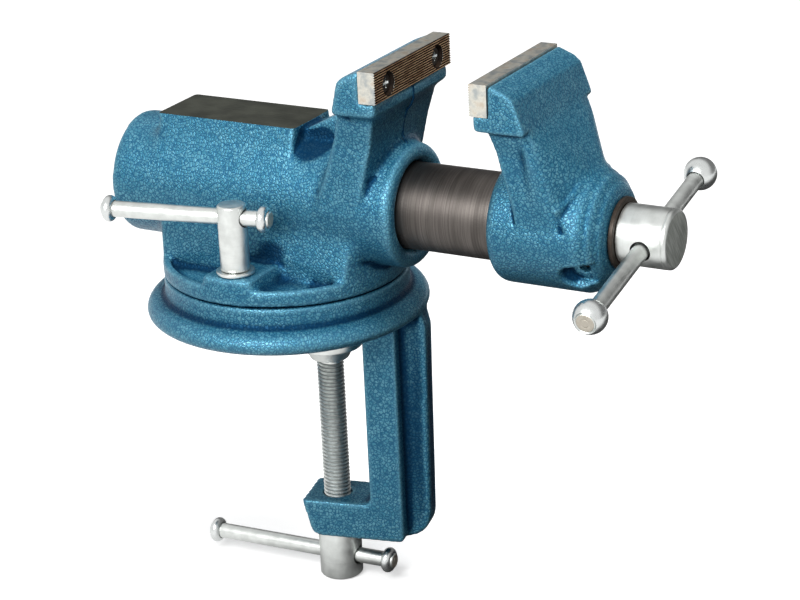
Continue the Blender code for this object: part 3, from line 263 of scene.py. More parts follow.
def zinc_plate(axis, name):
    """Bright zinc on turned steel: satin silver, a little cloudy, with faint tool rings round the axis."""
    made, tree, shader, place = material(name, Metallic=1.0)
    marks = streaks(tree, place, [0.8 if letter == axis else 60 for letter in "XYZ"], 3.0)
    clouds = noise(tree, place, 5, 4.0)
    share = spread(tree, clouds, 0.3, 0.7, 0.0, 1.0)
    colour = blended(tree, share, linear("#d0d3d0"), linear("#e0e3e0"))
    colour = blended(tree, spread(tree, marks, 0.5, 0.75, 0.0, 0.12), colour, linear("#a9aca6"))
    roughness = spread(tree, clouds, 0.3, 0.7, 0.34, 0.42)
    surface(tree, shader, colour, roughness, marks, 0.01, 0.15)
    return made


def thread_zinc():
    """The clamp screw's thread: zinc, bright on its crests and darker grey in its roots."""
    made, tree, shader, place = material("thread_zinc", Metallic=1.0)
    flat = node(tree, "ShaderNodeVectorMath", {0: place, 1: (1.0, 1.0, 0.0)}, operation="MULTIPLY").outputs[0]
    off = node(tree, "ShaderNodeVectorMath", {0: flat, 1: (CLAMP_X, CLAMP_Y, 0.0)}, operation="DISTANCE")
    crest = spread(tree, off.outputs["Value"], 5.9 * MM, 6.8 * MM, 0.0, 1.0)
    stains = noise(tree, place, 2, 4.0)
    bright = blended(tree, spread(tree, stains, 0.4, 0.7, 0.0, 1.0), linear("#eef1ef"), linear("#c0c4c1"))
    colour = blended(tree, crest, linear("#838887"), bright)
    roughness = spread(tree, crest, 0.0, 1.0, 0.6, 0.36)
    surface(tree, shader, colour, roughness, stains, 0.02, 0.3)
    return made


def faced_zinc():
    """The spindle head's outer face: zinc over steel cut flat, with fine slanting cutter marks. It is greyer
    than the side, partly a duller cut surface and partly painted shade for a face turned from the light.
    """
    made, tree, shader, place = material("faced_zinc", Metallic=1.0)
    grain = (5 * MM, 0.7 * MM, 9 * MM)
    slant = {"Vector": place, "Rotation": (math.radians(35), 0.0, 0.0), "Scale": grain}
    slant = node(tree, "ShaderNodeMapping", slant, vector_type="TEXTURE")
    inputs = {"Vector": slant.outputs[0], "Scale": 1.0, "Detail": 3.0}
    marks = node(tree, "ShaderNodeTexNoise", inputs).outputs[0]
    share = spread(tree, marks, 0.3, 0.7, 0.0, 1.0)
    colour = blended(tree, share, linear("#a4a9a3"), linear("#c6cac5"))
    roughness = spread(tree, marks, 0.3, 0.7, 0.45, 0.55)
    surface(tree, shader, colour, roughness, marks, 0.02, 0.4)
    return made


ENAMEL = hammered_enamel()
IRON = machined_iron()
GROUND = ground_steel()
# Flanks of the cut teeth, never ground after hardening: matt brown-black scale
SCALED = clouded_metal("scaled_steel", (4, 5.0), (0.3, 0.7), ("#120d0a", "#2b211a"), (0.7, 0.55), (0.02, 0.4),
                       Metallic=0.0, Specular_IOR_Level=0.12)
# Crests of the teeth: the same scale worn through by work to a tan, half-bright steel, line by line
CREST = clouded_metal("crest_steel", ((3, 6, 1), 4.0), (0.35, 0.6), ("#8c6a4c", "#cba982"), (0.6, 0.42),
                      (0.02, 0.4), Metallic=0.35)
SLIDE = turned_slide_steel()
ZINC_X = zinc_plate("X", "zinc_plate_ringed_on_x")
ZINC_Z = zinc_plate("Z", "zinc_plate_ringed_on_z")
FACED = faced_zinc()
THREAD = thread_zinc()
# Steel ends polished bright under the plating: a near mirror with the slightest haze
POLISHED = clouded_metal("polished_steel", (2.5, 3.0), None, ("#cfd2d1", "#e2e5e4"), (0.24, 0.34),
                         (0.02, 0.2), Metallic=1.0)
# Bar ends hammered over to hold the balls: rough, dull, tinged brown
PEENED = clouded_metal("peened_steel", (1.2, 5.0), None, ("#9a9284", "#cfcabf"), (0.4, 0.6), (0.08, 0.6),
                       Metallic=0.9)
# Blackened steel, oiled: near black with brown where the oil dried
BLACK = clouded_metal("black_steel", (2, 4.0), None, ("#1c1815", "#4a3f36"), (0.35, 0.5), (0.02, 0.3),
                      Metallic=0.6)


# Meshes
SHARP_ANGLE = math.radians(32)


def placed(name, data):
    """An object of the data, in the scene at the origin."""
    made = bpy.data.objects.new(name, data)
    bpy.context.scene.collection.objects.link(made)
    return made


def plain_mesh(bm, name):
    """The worked mesh as data of that name. Its working copy is freed."""
    mesh = bpy.data.meshes.new(name)
    bm.to_mesh(mesh)
    bm.free()
    return mesh


def shown(name, mesh, *materials):
    """An object of the mesh at the origin, smooth but for its sharp edges."""
    mesh.materials.clear()
    for one in materials:
        mesh.materials.append(one)
    mesh.shade_smooth()
    mesh.set_sharp_from_angle(angle=SHARP_ANGLE)
    return placed(name, mesh)


def in_metres(points):
    """The points with each measure turned from millimetres to metres."""
    return [tuple(measure * MM for measure in point) for point in points]


def rod(radius, low, high):
    """The outline of a plain cylinder from one height to another."""
    return [(0, low), (radius, low), (radius, high), (0, high)]


def fitted(piece, body, slot, *nodes):
    """The piece rides on its body and stands for those nodes, which it hides. The slot is not used."""
    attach(piece, body)
    if nodes:
        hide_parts(*nodes)
    return piece


def softened(outline, radius, steps=3):
    """The outline with each corner off the axis rounded by an arc."""
    points = []
    last = len(outline) - 1
    for index, here in enumerate(outline):
        before = Vector(outline[index - 1 if index else last])
        after = Vector(outline[index + 1 if index < last else 0])
        corner = Vector(here)
        if here[0] == 0 or (index in (0, last) and before[0] == after[0] == 0):
            points.append(tuple(here))
            continue
        back = before - corner
        ahead = after - corner
        if back.length < 1e-7 or ahead.length < 1e-7 or back.angle(ahead) > math.radians(160):
            points.append(tuple(here))
            continue
        reach = min(radius, back.length * 0.45, ahead.length * 0.45)
        start = corner + back.normalized() * reach
        end = corner + ahead.normalized() * reach
        for step in range(steps + 1):
            share = step / steps
            curve = start * (1 - share) ** 2 + corner * 2 * share * (1 - share) + end * share**2
            points.append(tuple(curve))
    return points


def arc(centre, radius, start, end, steps):
    """Points of an arc between two angles in degrees."""
    angles = [math.radians(start + (end - start) * step / steps) for step in range(steps + 1)]
    return [(centre[0] + radius * math.cos(a), centre[1] + radius * math.sin(a)) for a in angles]


def lathe(outline, steps=96, at=(0, 0, 0), along=(0, 0, 1)):
    """The closed skin that an outline of (radius, height) sweeps round an axis through a point."""
    bm = bmesh.new()
    rings = []
    for radius, height in outline:
        ring = []
        for step in range(steps if radius > 1e-9 else 1):
            angle = 2 * math.pi * step / steps
            ring.append(bm.verts.new((radius * math.cos(angle), radius * math.sin(angle), height)))
        rings.append(ring)
    for lower, upper in zip(rings, rings[1:] + rings[:1]):
        if len(lower) == len(upper) == 1:
            continue
        for step in range(steps):
            after = (step + 1) % steps
            corners = [lower[step % len(lower)], lower[after % len(lower)]]
            corners += [upper[after % len(upper)], upper[step % len(upper)]]
            bm.faces.new(list(dict.fromkeys(corners)))
    bmesh.ops.recalc_face_normals(bm, faces=bm.faces)
    turn = Vector(along).to_track_quat("Z", "Y").to_matrix().to_4x4()
    bm.transform(Matrix.Translation(at) @ turn)
    return plain_mesh(bm, "lathe")


def boxed(low, high):
    """A box between two corners."""
    bm = bmesh.new()
    bmesh.ops.create_cube(bm, size=1)
    size = Vector(high) - Vector(low)
    bm.transform(Matrix.Translation((Vector(low) + Vector(high)) / 2) @ Matrix.Diagonal((*size, 1)))
    return plain_mesh(bm, "box")


def hulled(points):
    """The smallest convex skin round the points."""
    bm = bmesh.new()
    for point in points:
        bm.verts.new(point)
    made = bmesh.ops.convex_hull(bm, input=bm.verts)
    loose = [v for v in made["geom_interior"] if isinstance(v, bmesh.types.BMVert)]
    bmesh.ops.delete(bm, geom=loose, context="VERTS")
    bmesh.ops.recalc_face_normals(bm, faces=bm.faces)
    return plain_mesh(bm, "hull")


def evaluated(made):
    """The object's mesh with its modifiers worked in."""
    bpy.context.view_layer.update()
    graph = bpy.context.evaluated_depsgraph_get()
    return bpy.data.meshes.new_from_object(made.evaluated_get(graph))


def carved(mesh, cutters):
    """The mesh with each cutter's shape taken out of it."""
    whole = placed("carved", mesh)
    helpers = [placed("cutter", shape) for shape in cutters]
    for helper in helpers:
        step = whole.modifiers.new("cut", "BOOLEAN")
        step.operation = "DIFFERENCE"
        step.solver = "MANIFOLD"
        step.object = helper
    result = evaluated(whole)
    for helper in [whole, *helpers]:
        bpy.data.objects.remove(helper)
    return result


# Castings: the solid's own shape, with the fillets and soft corners that a sand mould leaves
def node_skin(name, lifts=()):
    """The node's shape as one joined skin. Machined faces are lifted, to be cut back later."""
    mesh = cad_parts[name].data.copy()
    bm = bmesh.new()
    bm.from_mesh(mesh)
    bmesh.ops.remove_doubles(bm, verts=bm.verts, dist=0.01 * MM)
    for axis, at, by in lifts:
        for vert in bm.verts:
            if abs(vert.co[axis] - at) < 0.05 * MM:
                vert.co[axis] += by
    bm.to_mesh(mesh)
    bm.free()
    return mesh


def remeshed(mesh, voxel):
    """The mesh's skin again as even quads."""
    made = placed("skin", mesh)
    step = made.modifiers.new("voxels", "REMESH")
    step.mode = "VOXEL"
    step.voxel_size = voxel
    result = evaluated(made)
    bpy.data.objects.remove(made)
    return result


def linked(mesh):
    """The mesh's points, the two ends of each edge, and how many edges meet at each point."""
    count = len(mesh.vertices)
    place = np.empty(count * 3)
    mesh.vertices.foreach_get("co", place)
    ends = np.empty(len(mesh.edges) * 2, np.int64)
    mesh.edges.foreach_get("vertices", ends)
    a, b = ends.reshape(-1, 2).T
    degree = np.bincount(a, minlength=count) + np.bincount(b, minlength=count)
    return place.reshape(-1, 3), a, b, degree[:, None]


def to_neighbours(place, a, b, degree):
    """From each point, the way to the middle of its neighbours."""
    count = len(place)
    total = [np.bincount(a, place[b, k], count) + np.bincount(b, place[a, k], count) for k in range(3)]
    return np.stack(total, 1) / degree - place


def outward_of(mesh, place):
    """Each point's outward direction, once the mesh has these places."""
    mesh.vertices.foreach_set("co", place.reshape(-1))
    mesh.update()
    normal = np.empty(place.size)
    mesh.vertex_normals.foreach_get("vector", normal)
    return normal.reshape(-1, 3)


# The share of the way to its neighbours that a point moves in one round, and how often a hollow is looked for
SOFTEN_PACE = 0.7
FILL_PACE = 0.8
EDGE_PACE = 0.06
ROUNDS_PER_NORMAL = 8


def relax(mesh, soften_rounds, fillet_rounds):
    """Softens every corner a little, then fills the hollows only, for as many rounds as each place says."""
    place, a, b, degree = linked(mesh)
    soften = soften_rounds(place)
    for step in range(int(soften.max())):
        place += to_neighbours(place, a, b, degree) * (SOFTEN_PACE * (step < soften))[:, None]
    fill = fillet_rounds(place)
    for step in range(int(fill.max())):
        if step % ROUNDS_PER_NORMAL == 0:
            normal = outward_of(mesh, place)
        shift = to_neighbours(place, a, b, degree)
        pace = np.where((shift * normal).sum(1) > 0, FILL_PACE, EDGE_PACE) * (step < fill)
        place += shift * pace[:, None]
    outward_of(mesh, place)
    return mesh


def creased(mesh, paths):
    """Presses a soft groove, or raises a ridge, along paths seen from the side. Each path has its points
    (x, z), the lowest |y| that it touches, its depth and half its width, all in millimetres."""
    place = linked(mesh)[0]
    normal = outward_of(mesh, place)
    flat = place[:, [0, 2]] / MM
    for points, reach, depth, wide in paths:
        near = np.full(len(place), 1e9)
        for start, end in zip(np.array(points[:-1]), np.array(points[1:])):
            along = end - start
            share = np.clip((flat - start) @ along / (along @ along), 0, 1)
            near = np.minimum(near, np.linalg.norm(flat - start - share[:, None] * along, axis=1))
        press = depth * np.exp(-(near / wide) ** 2) * (abs(place[:, 1]) > reach * MM)
        place -= normal * press[:, None] * MM
    outward_of(mesh, place)
    return mesh


def pooled_and_shaded(mesh, rounds, seam_z=None, shade_pools=()):
    """Marks how deep each point lies in a hollow, in millimetres, or below 0 on an edge; the enamel paints
    the hollows dark, partly as pooled paint and partly as painted shade, and the edges pale as a painted
    highlight. Paint also fills the swivel's joint, at height seam_z, and shade is painted in each of the
    shade pools: a middle, its reach and a depth."""
    place, a, b, degree = linked(mesh)
    soft = place.copy()
    for _ in range(rounds):
        soft += to_neighbours(soft, a, b, degree) * 0.8
    depth = ((soft - place) * outward_of(mesh, place)).sum(1) / MM
    if seam_z:
        depth += 1.5 * np.exp(-(((place[:, 2] - seam_z) / MM / 0.7) ** 2))
    for middle, reach, deep in shade_pools:
        depth += deep * np.exp(-((((place / MM - middle) / reach) ** 2).sum(1) ** 2))
    return toned(mesh, depth)


def toned(mesh, depth):
    """Stores the depth of hollows for the paint, one value for each point: the deeper, the darker the enamel,
    partly pooled paint and partly painted shade.
    """
    shade = mesh.attributes.new("hollow", "FLOAT", "POINT")
    shade.data.foreach_set("value", np.broadcast_to(depth, len(mesh.vertices)).astype(np.float32))
    return mesh


def machined(made, axis, at, index):
    """The faces of the object that lie flat at that height get the material of that index."""
    for face in made.data.polygons:
        if abs(face.center[axis] - at) < FLAT_MARGIN and abs(face.normal[axis]) > 0.99:
            face.material_index = index


def even(place):
    """The same four softening rounds at every place."""
    return np.full(len(place), 4)


def fixed_fillets(place):
    """How many rounds each hollow of the fixed casting fills: most along the anvil's root, then in the foot's
    pocket beside the lock."""
    x, y, z = (place / MM).T
    rounds = np.full(len(place), 6)
    rounds[(x < 15) & (z > 70) & (z < 100) & (abs(y) > 12)] = 100
    rounds[(z > 40) & (z < 62)] = 40
    rounds[(x > 60) & (z > 84) & (z < 104)] = 40
    rounds[(x > 20) & (x < 62) & (z > 76) & (z < 92)] = 40
    rounds[z > 113] = 3
    rounds[(x > 60) & (z > 104) & (z < 118)] = 40
    rounds[(z < 36) & (y < -31) & (x > 12) & (x < 34)] = 50
    return rounds


def make_fixed_casting():
    """The body's casting, with its anvil's top milled and its bore, plate seat and bolt hole cut."""
    mesh = node_skin("fixed_jaw_body", [(2, ANVIL_TOP_Z, 3 * MM)])
    # Painted shade, besides the hollows: the shade pools darken the recess before the anvil's front end and
    # the pedestal's near side under the barrel
    mesh = pooled_and_shaded(relax(remeshed(mesh, VOXEL), even, fixed_fillets), 16, SEAM_Z, BODY_SHADE_POOLS)
    blind = -76.3 * MM
    bore = [(0, blind), (BORE_RADIUS, blind), (BORE_RADIUS, COLLAR_X - 2.2 * MM)]
    bore += [(BORE_RADIUS + 4.2 * MM, COLLAR_X + 2 * MM), (0, COLLAR_X + 2 * MM)]
    seat_low = (FIXED_FACE_X - PLATE_THICKNESS - CLEARANCE, -60 * MM, PLATE_BOTTOM_Z - CLEARANCE)
    cutters = [boxed((-80 * MM, -30 * MM, ANVIL_TOP_Z), (24 * MM, 30 * MM, 110 * MM))]
    # Painted shade: the bore's cut faces take the darkest enamel, for the shadow in the gap round the slide
    cutters.append(toned(lathe(bore, 128, (0, 0, SLIDE_Z), (1, 0, 0)), 1.0))
    cutters.append(boxed(seat_low, (90 * MM, 60 * MM, 150 * MM)))
    cutters.append(lathe(rod(5.4 * MM, 20 * MM, 60 * MM), 48, (LOCK_X, LOCK_Y, 0)))
    made = shown("fixed_casting", carved(mesh, cutters), ENAMEL, IRON)
    machined(made, 2, ANVIL_TOP_Z, 1)
    fitted(made, "vise_body", "hammer_paint", "fixed_jaw_body")


def make_mould_line():
    """The thin raised line that the two halves of the mould leave down the neck's front."""
    line = [(76.1, 123.4), (76.0, 117.5), (74.6, 114.2), (72.3, 111.4), (70.4, 106.5), (69.5, 102)]
    line += [(69.4, 98.5), (70.2, 96.4), (71.8, 94.6)]
    curve = bpy.data.curves.new("mould_line", "CURVE")
    curve.dimensions = "3D"
    curve.bevel_depth = 0.55 * MM
    curve.bevel_resolution = 3
    curve.use_fill_caps = True
    spline = curve.splines.new("POLY")
    spline.points.add(len(line) - 1)
    for point, (x, z) in zip(spline.points, line):
        point.co = (x * MM - 0.15 * MM, 0, z * MM, 1)
    holder = placed("mould_line_path", curve)
    mesh = evaluated(holder)
    bpy.data.objects.remove(holder)
    fitted(shown("mould_line", toned(mesh, 0.4), ENAMEL), "vise_body", "hammer_paint")


def ramp(value, low, high):
    """From 0 at one value to 1 at the other, straight, and no further."""
    return np.clip((value - low) / (high - low), 0, 1)


def back_share(place):
    """How fully a point belongs to the moving jaw's sloping back, just under its jaw block."""
    x, y, z = (place / MM).T
    return ramp(x, 149, 152) * ramp(abs(y), 27, 22) * ramp(z, 84, 90) * ramp(z, 124, 114)


def moving_softness(place):
    """How many rounds each place of the moving casting softens: most where the jaw block's back, the sloping
    back and the barrel flow into each other."""
    block = ramp(place[:, 2] / MM, 118, 122)
    return 4 - 2 * block + 18 * back_share(place)


def moving_fillets(place):
    """How many rounds each hollow of the moving casting fills: most where the back meets the barrel."""
    x, y, z = (place / MM).T
    crown = ramp(x, 162, 165) * ramp(abs(y), 24, 20) * ramp(z, 76, 79) * ramp(z, 106, 102)
    cove = ramp(x, 138, 135) * ramp(z, 104, 108) * ramp(z, 120, 118)
    return 6 + np.maximum(np.maximum(14 * crown, 24 * cove), 50 * back_share(place))


def beaded(mesh):
    """Two shallow coves and two soft beads round the barrel's domed end, as the pattern left them."""
    place = linked(mesh)[0]
    x = place[:, 0] / MM
    side = place[:, 1:] - (0, SLIDE_Z)
    out = np.linalg.norm(side, axis=1) / MM
    wave = np.zeros(len(place))
    for at, height, wide in ((174.2, -0.4, 1.0), (176.4, 0.3, 1.0), (178.7, -0.3, 0.9), (180.3, 0.2, 0.7)):
        wave += height * np.exp(-((x - at) / wide) ** 2)
    crown = np.clip((out - 16.5) / 2, 0, 1) * (out < BARREL_END_RADIUS / MM + 0.8)
    place[:, 1:] += side / out[:, None] * (wave * crown)[:, None]
    outward_of(mesh, place)
    return mesh


def grub_cutters():
    """The scoop milled in the barrel's lower near side for the retaining screw, and the screw's hole."""
    outward = Vector((0, -math.cos(GRUB_ANGLE), -math.sin(GRUB_ANGLE)))
    upward = outward.cross((1, 0, 0))
    foot = Vector((GRUB_X, 0, SLIDE_Z))
    points = []
    for height, radius in ((23.6 * MM, 5.8 * MM), (31.0 * MM, 8.0 * MM)):
        flat = [(5.8 * MM - radius * 1.2 + x, y - radius / 4) for x, y in arc((0, 0), radius, 90, 270, 16)]
        flat += [(14 * MM, radius * 0.75), (14 * MM, -radius * 1.25)]
        points += [foot + Vector((x, 0, 0)) + upward * y + outward * height for x, y in flat]
    scoop = hulled(points)
    # Painted shade: the scoop darkens towards its left end wall, and the hole is painted dark inside
    scoop = toned(scoop, ramp(linked(scoop)[0][:, 0] / MM, 171, 166))
    hole = lathe(rod(3 * MM, 4.5 * MM, 27.6 * MM), 48, foot, outward)
    return [scoop, toned(hole, 1.0)]


def make_moving_casting():
    """The moving jaw's casting. Soft grooves part its sloping back from its sides and barrel."""
    mesh = relax(remeshed(node_skin("moving_jaw_body"), FINE_VOXEL), moving_softness, moving_fillets)
    valley = [(150.8, 112.4), (153.1, 105.8), (155.4, 99.9), (157.6, 89.8), (160.4, 80.6), (164, 71.5)]
    lower = [(136, 92.5), (137.3, 85.3), (139.1, 77.9), (140.5, 72.3)]
    ridge = [(162.5, 80.5), (165.5, 85), (168.2, 89.5)]
    grooves = [(valley, 12, 1.05, 1.9), (lower, 14, 0.7, 0.9), (ridge, 8, -0.7, 1.4)]
    mesh = pooled_and_shaded(beaded(creased(mesh, grooves)), 22)
    mouth = MOVING_FRONT_X - 4 * MM
    end = MOVING_END_X + 4 * MM
    bore = [(0, mouth), (BORE_RADIUS, mouth), (BORE_RADIUS, BORE_WALL_X)]
    bore += [(9.3 * MM, BORE_WALL_X), (9.3 * MM, end), (0, end)]
    seat_x = MOVING_FACE_X + PLATE_THICKNESS + CLEARANCE
    cutters = [lathe(bore, 128, (0, 0, SLIDE_Z), (1, 0, 0)), *grub_cutters()]
    cutters.append(boxed((110 * MM, -60 * MM, PLATE_BOTTOM_Z - CLEARANCE), (seat_x, 60 * MM, 150 * MM)))
    made = shown("moving_casting", carved(mesh, cutters), ENAMEL)
    fitted(made, "moving_jaw", "hammer_paint", "moving_jaw_body")


def base_fillets(place):
    """How many rounds each hollow of the base fills: fewer on the disc's top and the clamp's foot."""
    z = place[:, 2] / MM
    rounds = np.full(len(place), 8)
    rounds[z > 6] = 6
    rounds[z < -88] = 5
    return rounds


def make_base_casting():
    """The base's disc and clamp in one casting, with its screw's hole cut."""
    mesh = relax(remeshed(node_skin("clamp_base"), VOXEL), even, base_fillets)
    # Painted shade, besides the hollows: the shade pool darkens the clamp rib's face that is turned from the
    # light
    mesh = pooled_and_shaded(mesh, 16, SEAM_Z, BASE_SHADE_POOLS)
    hole = lathe(rod(7.2 * MM, -125 * MM, -90 * MM), 64, (CLAMP_X, CLAMP_Y, 0))
    made = shown("base_casting", carved(mesh, [hole]), ENAMEL)
    fitted(made, "base", "hammer_paint", "clamp_base")


# Slide, spindle, ring
def make_slide():
    """The tube that the moving jaw rides on, with a slot below for the nut's holder."""
    rear = TUBE_REAR_X
    front = BORE_WALL_X - CLEARANCE
    outline = [(13 * MM, rear), (SLIDE_RADIUS, rear), (SLIDE_RADIUS, front), (13 * MM, front)]
    mesh = lathe(softened(outline, 0.5 * MM), 160, (0, 0, SLIDE_Z), (1, 0, 0))
    slot = boxed((rear - MM, -6.3 * MM, SLIDE_Z - 30 * MM), (61.3 * MM, 6.3 * MM, SLIDE_Z - 6.5 * MM))
    fitted(shown("slide", carved(mesh, [slot]), SLIDE), "moving_jaw", "turned_steel", "slide_tube")


def make_spindle():
    """The main screw. A fine groove marks off the rounded lip at the outer end of its head."""
    rear = TUBE_REAR_X
    groove = MOVING_END_X - 10 * MM
    head = 14.3 * MM
    end = HEAD_X + 24.4 * MM
    outline = [(0, rear), (7.7 * MM, rear), (9 * MM, rear + 1.3 * MM), (9 * MM, groove - 3.4 * MM)]
    outline += [(6.4 * MM, groove - 3.4 * MM), (6.4 * MM, groove + 3.4 * MM), (9 * MM, groove + 3.4 * MM)]
    outline += [(9 * MM, HEAD_X), (head, HEAD_X), (head, end - 2.9 * MM), (head - 0.35 * MM, end - 2.6 * MM)]
    outline += [(head - 0.35 * MM, end - 2.3 * MM), (head - 0.05 * MM, end - 2 * MM)]
    outline += [(head - 0.15 * MM, end - 0.9 * MM), (head - 0.9 * MM, end - 0.1 * MM), (head - 1.7 * MM, end)]
    mesh = lathe(softened(outline + [(0, end)], 0.3 * MM), 128, (0, 0, SLIDE_Z), (1, 0, 0))
    hole = lathe(rod(5 * MM, -20 * MM, 20 * MM), 64, MAIN_BAR_PLACE, MAIN_BAR_WAY)
    made = shown("spindle_turned", carved(mesh, [hole]), ZINC_X, FACED)
    # The outer face takes the greyer faced zinc, partly painted shade
    machined(made, 0, end, 1)
    fitted(made, "spindle", "zinc_plate", "spindle")


def make_ring():
    """The dark ring between the spindle's head and the moving jaw."""
    low = MOVING_END_X + CLEARANCE
    outline = [(9.6 * MM, low), (17 * MM, low), (17 * MM, low + 2.1 * MM), (9.6 * MM, low + 2.1 * MM)]
    mesh = lathe(softened(outline, 0.35 * MM), 128, (0, 0, SLIDE_Z), (1, 0, 0))
    fitted(shown("thrust_collar", mesh, BLACK), "moving_jaw", "black_steel", "thrust_ring")


# Bars and their ends
def knob_outline():
    """Upset knob: one round bead. The bar's own tip stands out of it as a small button."""
    return in_metres([(4.3, 0)] + arc((3.95, 2.55), 2.55, -78, 78, 18) + [(4.3, 5.05)])


def ball_outline():
    """Ball with its outer end cut flat, hollowed a little round the bar on the inner side."""
    start = math.degrees(math.atan2(-6.6, 4.52))
    end = math.degrees(math.atan2(5.95, 5.35))
    return in_metres([(4.3, 0.7)] + arc((0, 6.746), 8, start, end, 28) + [(5.5, 12.3), (4.3, 11.4)])


def make_bar(name, body, centre, along, left, right, thick, end_outline, tip, metal):
    """A bar with an end on each side. Its tips, hammered over, stand out of the ends at radius tip."""
    along = Vector(along).normalized()
    low = -left - thick / 2
    high = right + thick / 2
    neck = 4 * MM
    riveted = [(0, 0.1), (0.34, 0), (0.42, 0.25), (0.52, 0.05), (0.86, 0.1), (1, 0.7), (1, 1.2)]
    outline = [(tip * share, low + depth * MM) for share, depth in riveted]
    outline += [(neck, low + 1.7 * MM), (neck, high - 1.7 * MM)]
    outline += [(tip * share, high - depth * MM) for share, depth in reversed(riveted)]
    bar = shown(f"{name}_rod", lathe(softened(outline, 0.3 * MM), 64, centre, along), metal, PEENED)
    for face in bar.data.polygons:
        if abs(face.normal.dot(along)) > 0.8:
            face.material_index = 1
    fitted(bar, body, "zinc_plate", name)
    for side, outward, reach in (("left", -along, left), ("right", along, right)):
        at = Vector(centre) + outward * (reach - thick / 2)
        mesh = lathe(softened(end_outline, 0.25 * MM), 72, at, outward)
        end = shown(f"{name}_{side}_knob", mesh, POLISHED)
        fitted(end, body, "polished_steel", f"{name}_{side}_end")


def make_bars():
    """The three sliding bars, with the reach of each end from the middle of its hole."""
    make_bar("main_bar", "main_bar", MAIN_BAR_PLACE, MAIN_BAR_WAY,
             69.6 * MM, 59.4 * MM, 12.82 * MM, ball_outline(), 4.8 * MM, ZINC_X)
    make_bar("clamp_bar", "clamp_bar", CLAMP_BAR_PLACE, CLAMP_BAR_WAY,
             73.3 * MM, 28 * MM, 6.2 * MM, knob_outline(), 4 * MM, ZINC_Z)
    make_bar("lock_bar", "lock_bar", LOCK_BAR_PLACE, LOCK_BAR_WAY,
             64.3 * MM, 16.8 * MM, 6.2 * MM, knob_outline(), 4 * MM, ZINC_Z)


# Swivel lock
def make_lock():
    """The lock nut, a turned barrel with its bar's hole, and the washer under it."""
    low = 39 * MM
    top = 71.5 * MM
    outline = [(5.3 * MM, low), (7.1 * MM, low), (7.1 * MM, top - 0.7 * MM), (6.4 * MM, top), (0, top)]
    outline += [(0, 56.3 * MM), (5.3 * MM, 56.3 * MM)]
    hole = lathe(rod(4.7 * MM, -12 * MM, 12 * MM), 64, LOCK_BAR_PLACE, LOCK_BAR_WAY)
    mesh = carved(lathe(softened(outline, 0.3 * MM), 96, (LOCK_X, LOCK_Y, 0)), [hole])
    fitted(shown("lock_barrel", mesh, ZINC_Z), "lock_nut", "zinc_plate", "lock_nut")
    low = 37.1 * MM
    outline = [(5.3 * MM, low), (9.3 * MM, low), (9.3 * MM, low + 1.6 * MM), (5.3 * MM, low + 1.6 * MM)]
    mesh = lathe(softened(outline, 0.4 * MM), 96, (LOCK_X, LOCK_Y, 0))
    fitted(shown("lock_washer_turned", mesh, ZINC_Z), "vise_body", "zinc_plate", "lock_washer")


# Bench clamp: pad and threaded screw
def grown(name, tree, values, metal):
    """Runs a geometry tree on an empty mesh with its named inputs filled, and gives the plain mesh."""
    holder = placed(name, bpy.data.meshes.new(name))
    step = holder.modifiers.new("grow", "NODES")
    step.node_group = tree
    sockets = {item.name: item.identifier for item in tree.interface.items_tree if item.in_out == "INPUT"}
    for key, value in values.items():
        step[sockets[key]] = value
    holder.data.materials.append(metal)
    mesh = evaluated(holder)
    bpy.data.objects.remove(holder)
    return mesh


def new_tree(name, inputs):
    """An empty geometry tree with named inputs, and its two end nodes."""
    tree = bpy.data.node_groups.new(name, "GeometryNodeTree")
    for label, kind in inputs:
        tree.interface.new_socket(label, in_out="INPUT", socket_type=kind)
    tree.interface.new_socket("Geometry", in_out="OUTPUT", socket_type="NodeSocketGeometry")
    return tree, node(tree, "NodeGroupInput"), node(tree, "NodeGroupOutput")


def thread_tree():
    """A ridge of diamond section wound round local Z, right-handed: the screw's thread."""
    number = "NodeSocketFloat"
    inputs = [("Radius", number), ("Pitch", number), ("Turns", number), ("Depth", number)]
    inputs += [("Foot", "NodeSocketVector"), ("Metal", "NodeSocketMaterial")]
    tree, given, result = new_tree("screw_thread", inputs)
    value = given.outputs
    middle = node(tree, "ShaderNodeMath", {0: value["Radius"], 1: value["Depth"]}, operation="SUBTRACT")
    height = node(tree, "ShaderNodeMath", {0: value["Pitch"], 1: value["Turns"]}, operation="MULTIPLY")
    wound = {"Resolution": 40, "Rotations": value["Turns"], "Start Radius": middle.outputs[0]}
    wound |= {"End Radius": middle.outputs[0], "Height": height.outputs[0]}
    spiral = node(tree, "GeometryNodeCurveSpiral", wound)
    upright = node(tree, "GeometryNodeSetCurveNormal", {"Curve": spiral.outputs[0]})
    upright.mode = "Z_UP"
    half = node(tree, "ShaderNodeMath", {0: value["Pitch"], 1: 0.46}, operation="MULTIPLY")
    wide = node(tree, "ShaderNodeMath", {0: value["Depth"], 1: 2.0}, operation="MULTIPLY")
    kite = {"Width": wide.outputs[0], "Bottom Height": half.outputs[0], "Top Height": half.outputs[0]}
    section = node(tree, "GeometryNodeCurvePrimitiveQuadrilateral", kite, mode="KITE")
    ridge = {"Curve": upright.outputs[0], "Profile Curve": section.outputs[0], "Fill Caps": True}
    ridge = node(tree, "GeometryNodeCurveToMesh", ridge)
    raised = {"Geometry": ridge.outputs[0], "Translation": value["Foot"]}
    raised = node(tree, "GeometryNodeTransform", raised)
    real = node(tree, "GeometryNodeRealizeInstances", {0: raised.outputs[0]})
    coated = node(tree, "GeometryNodeSetMaterial", {"Geometry": real.outputs[0], "Material": value["Metal"]})
    tree.links.new(coated.outputs[0], result.inputs[0])
    return tree


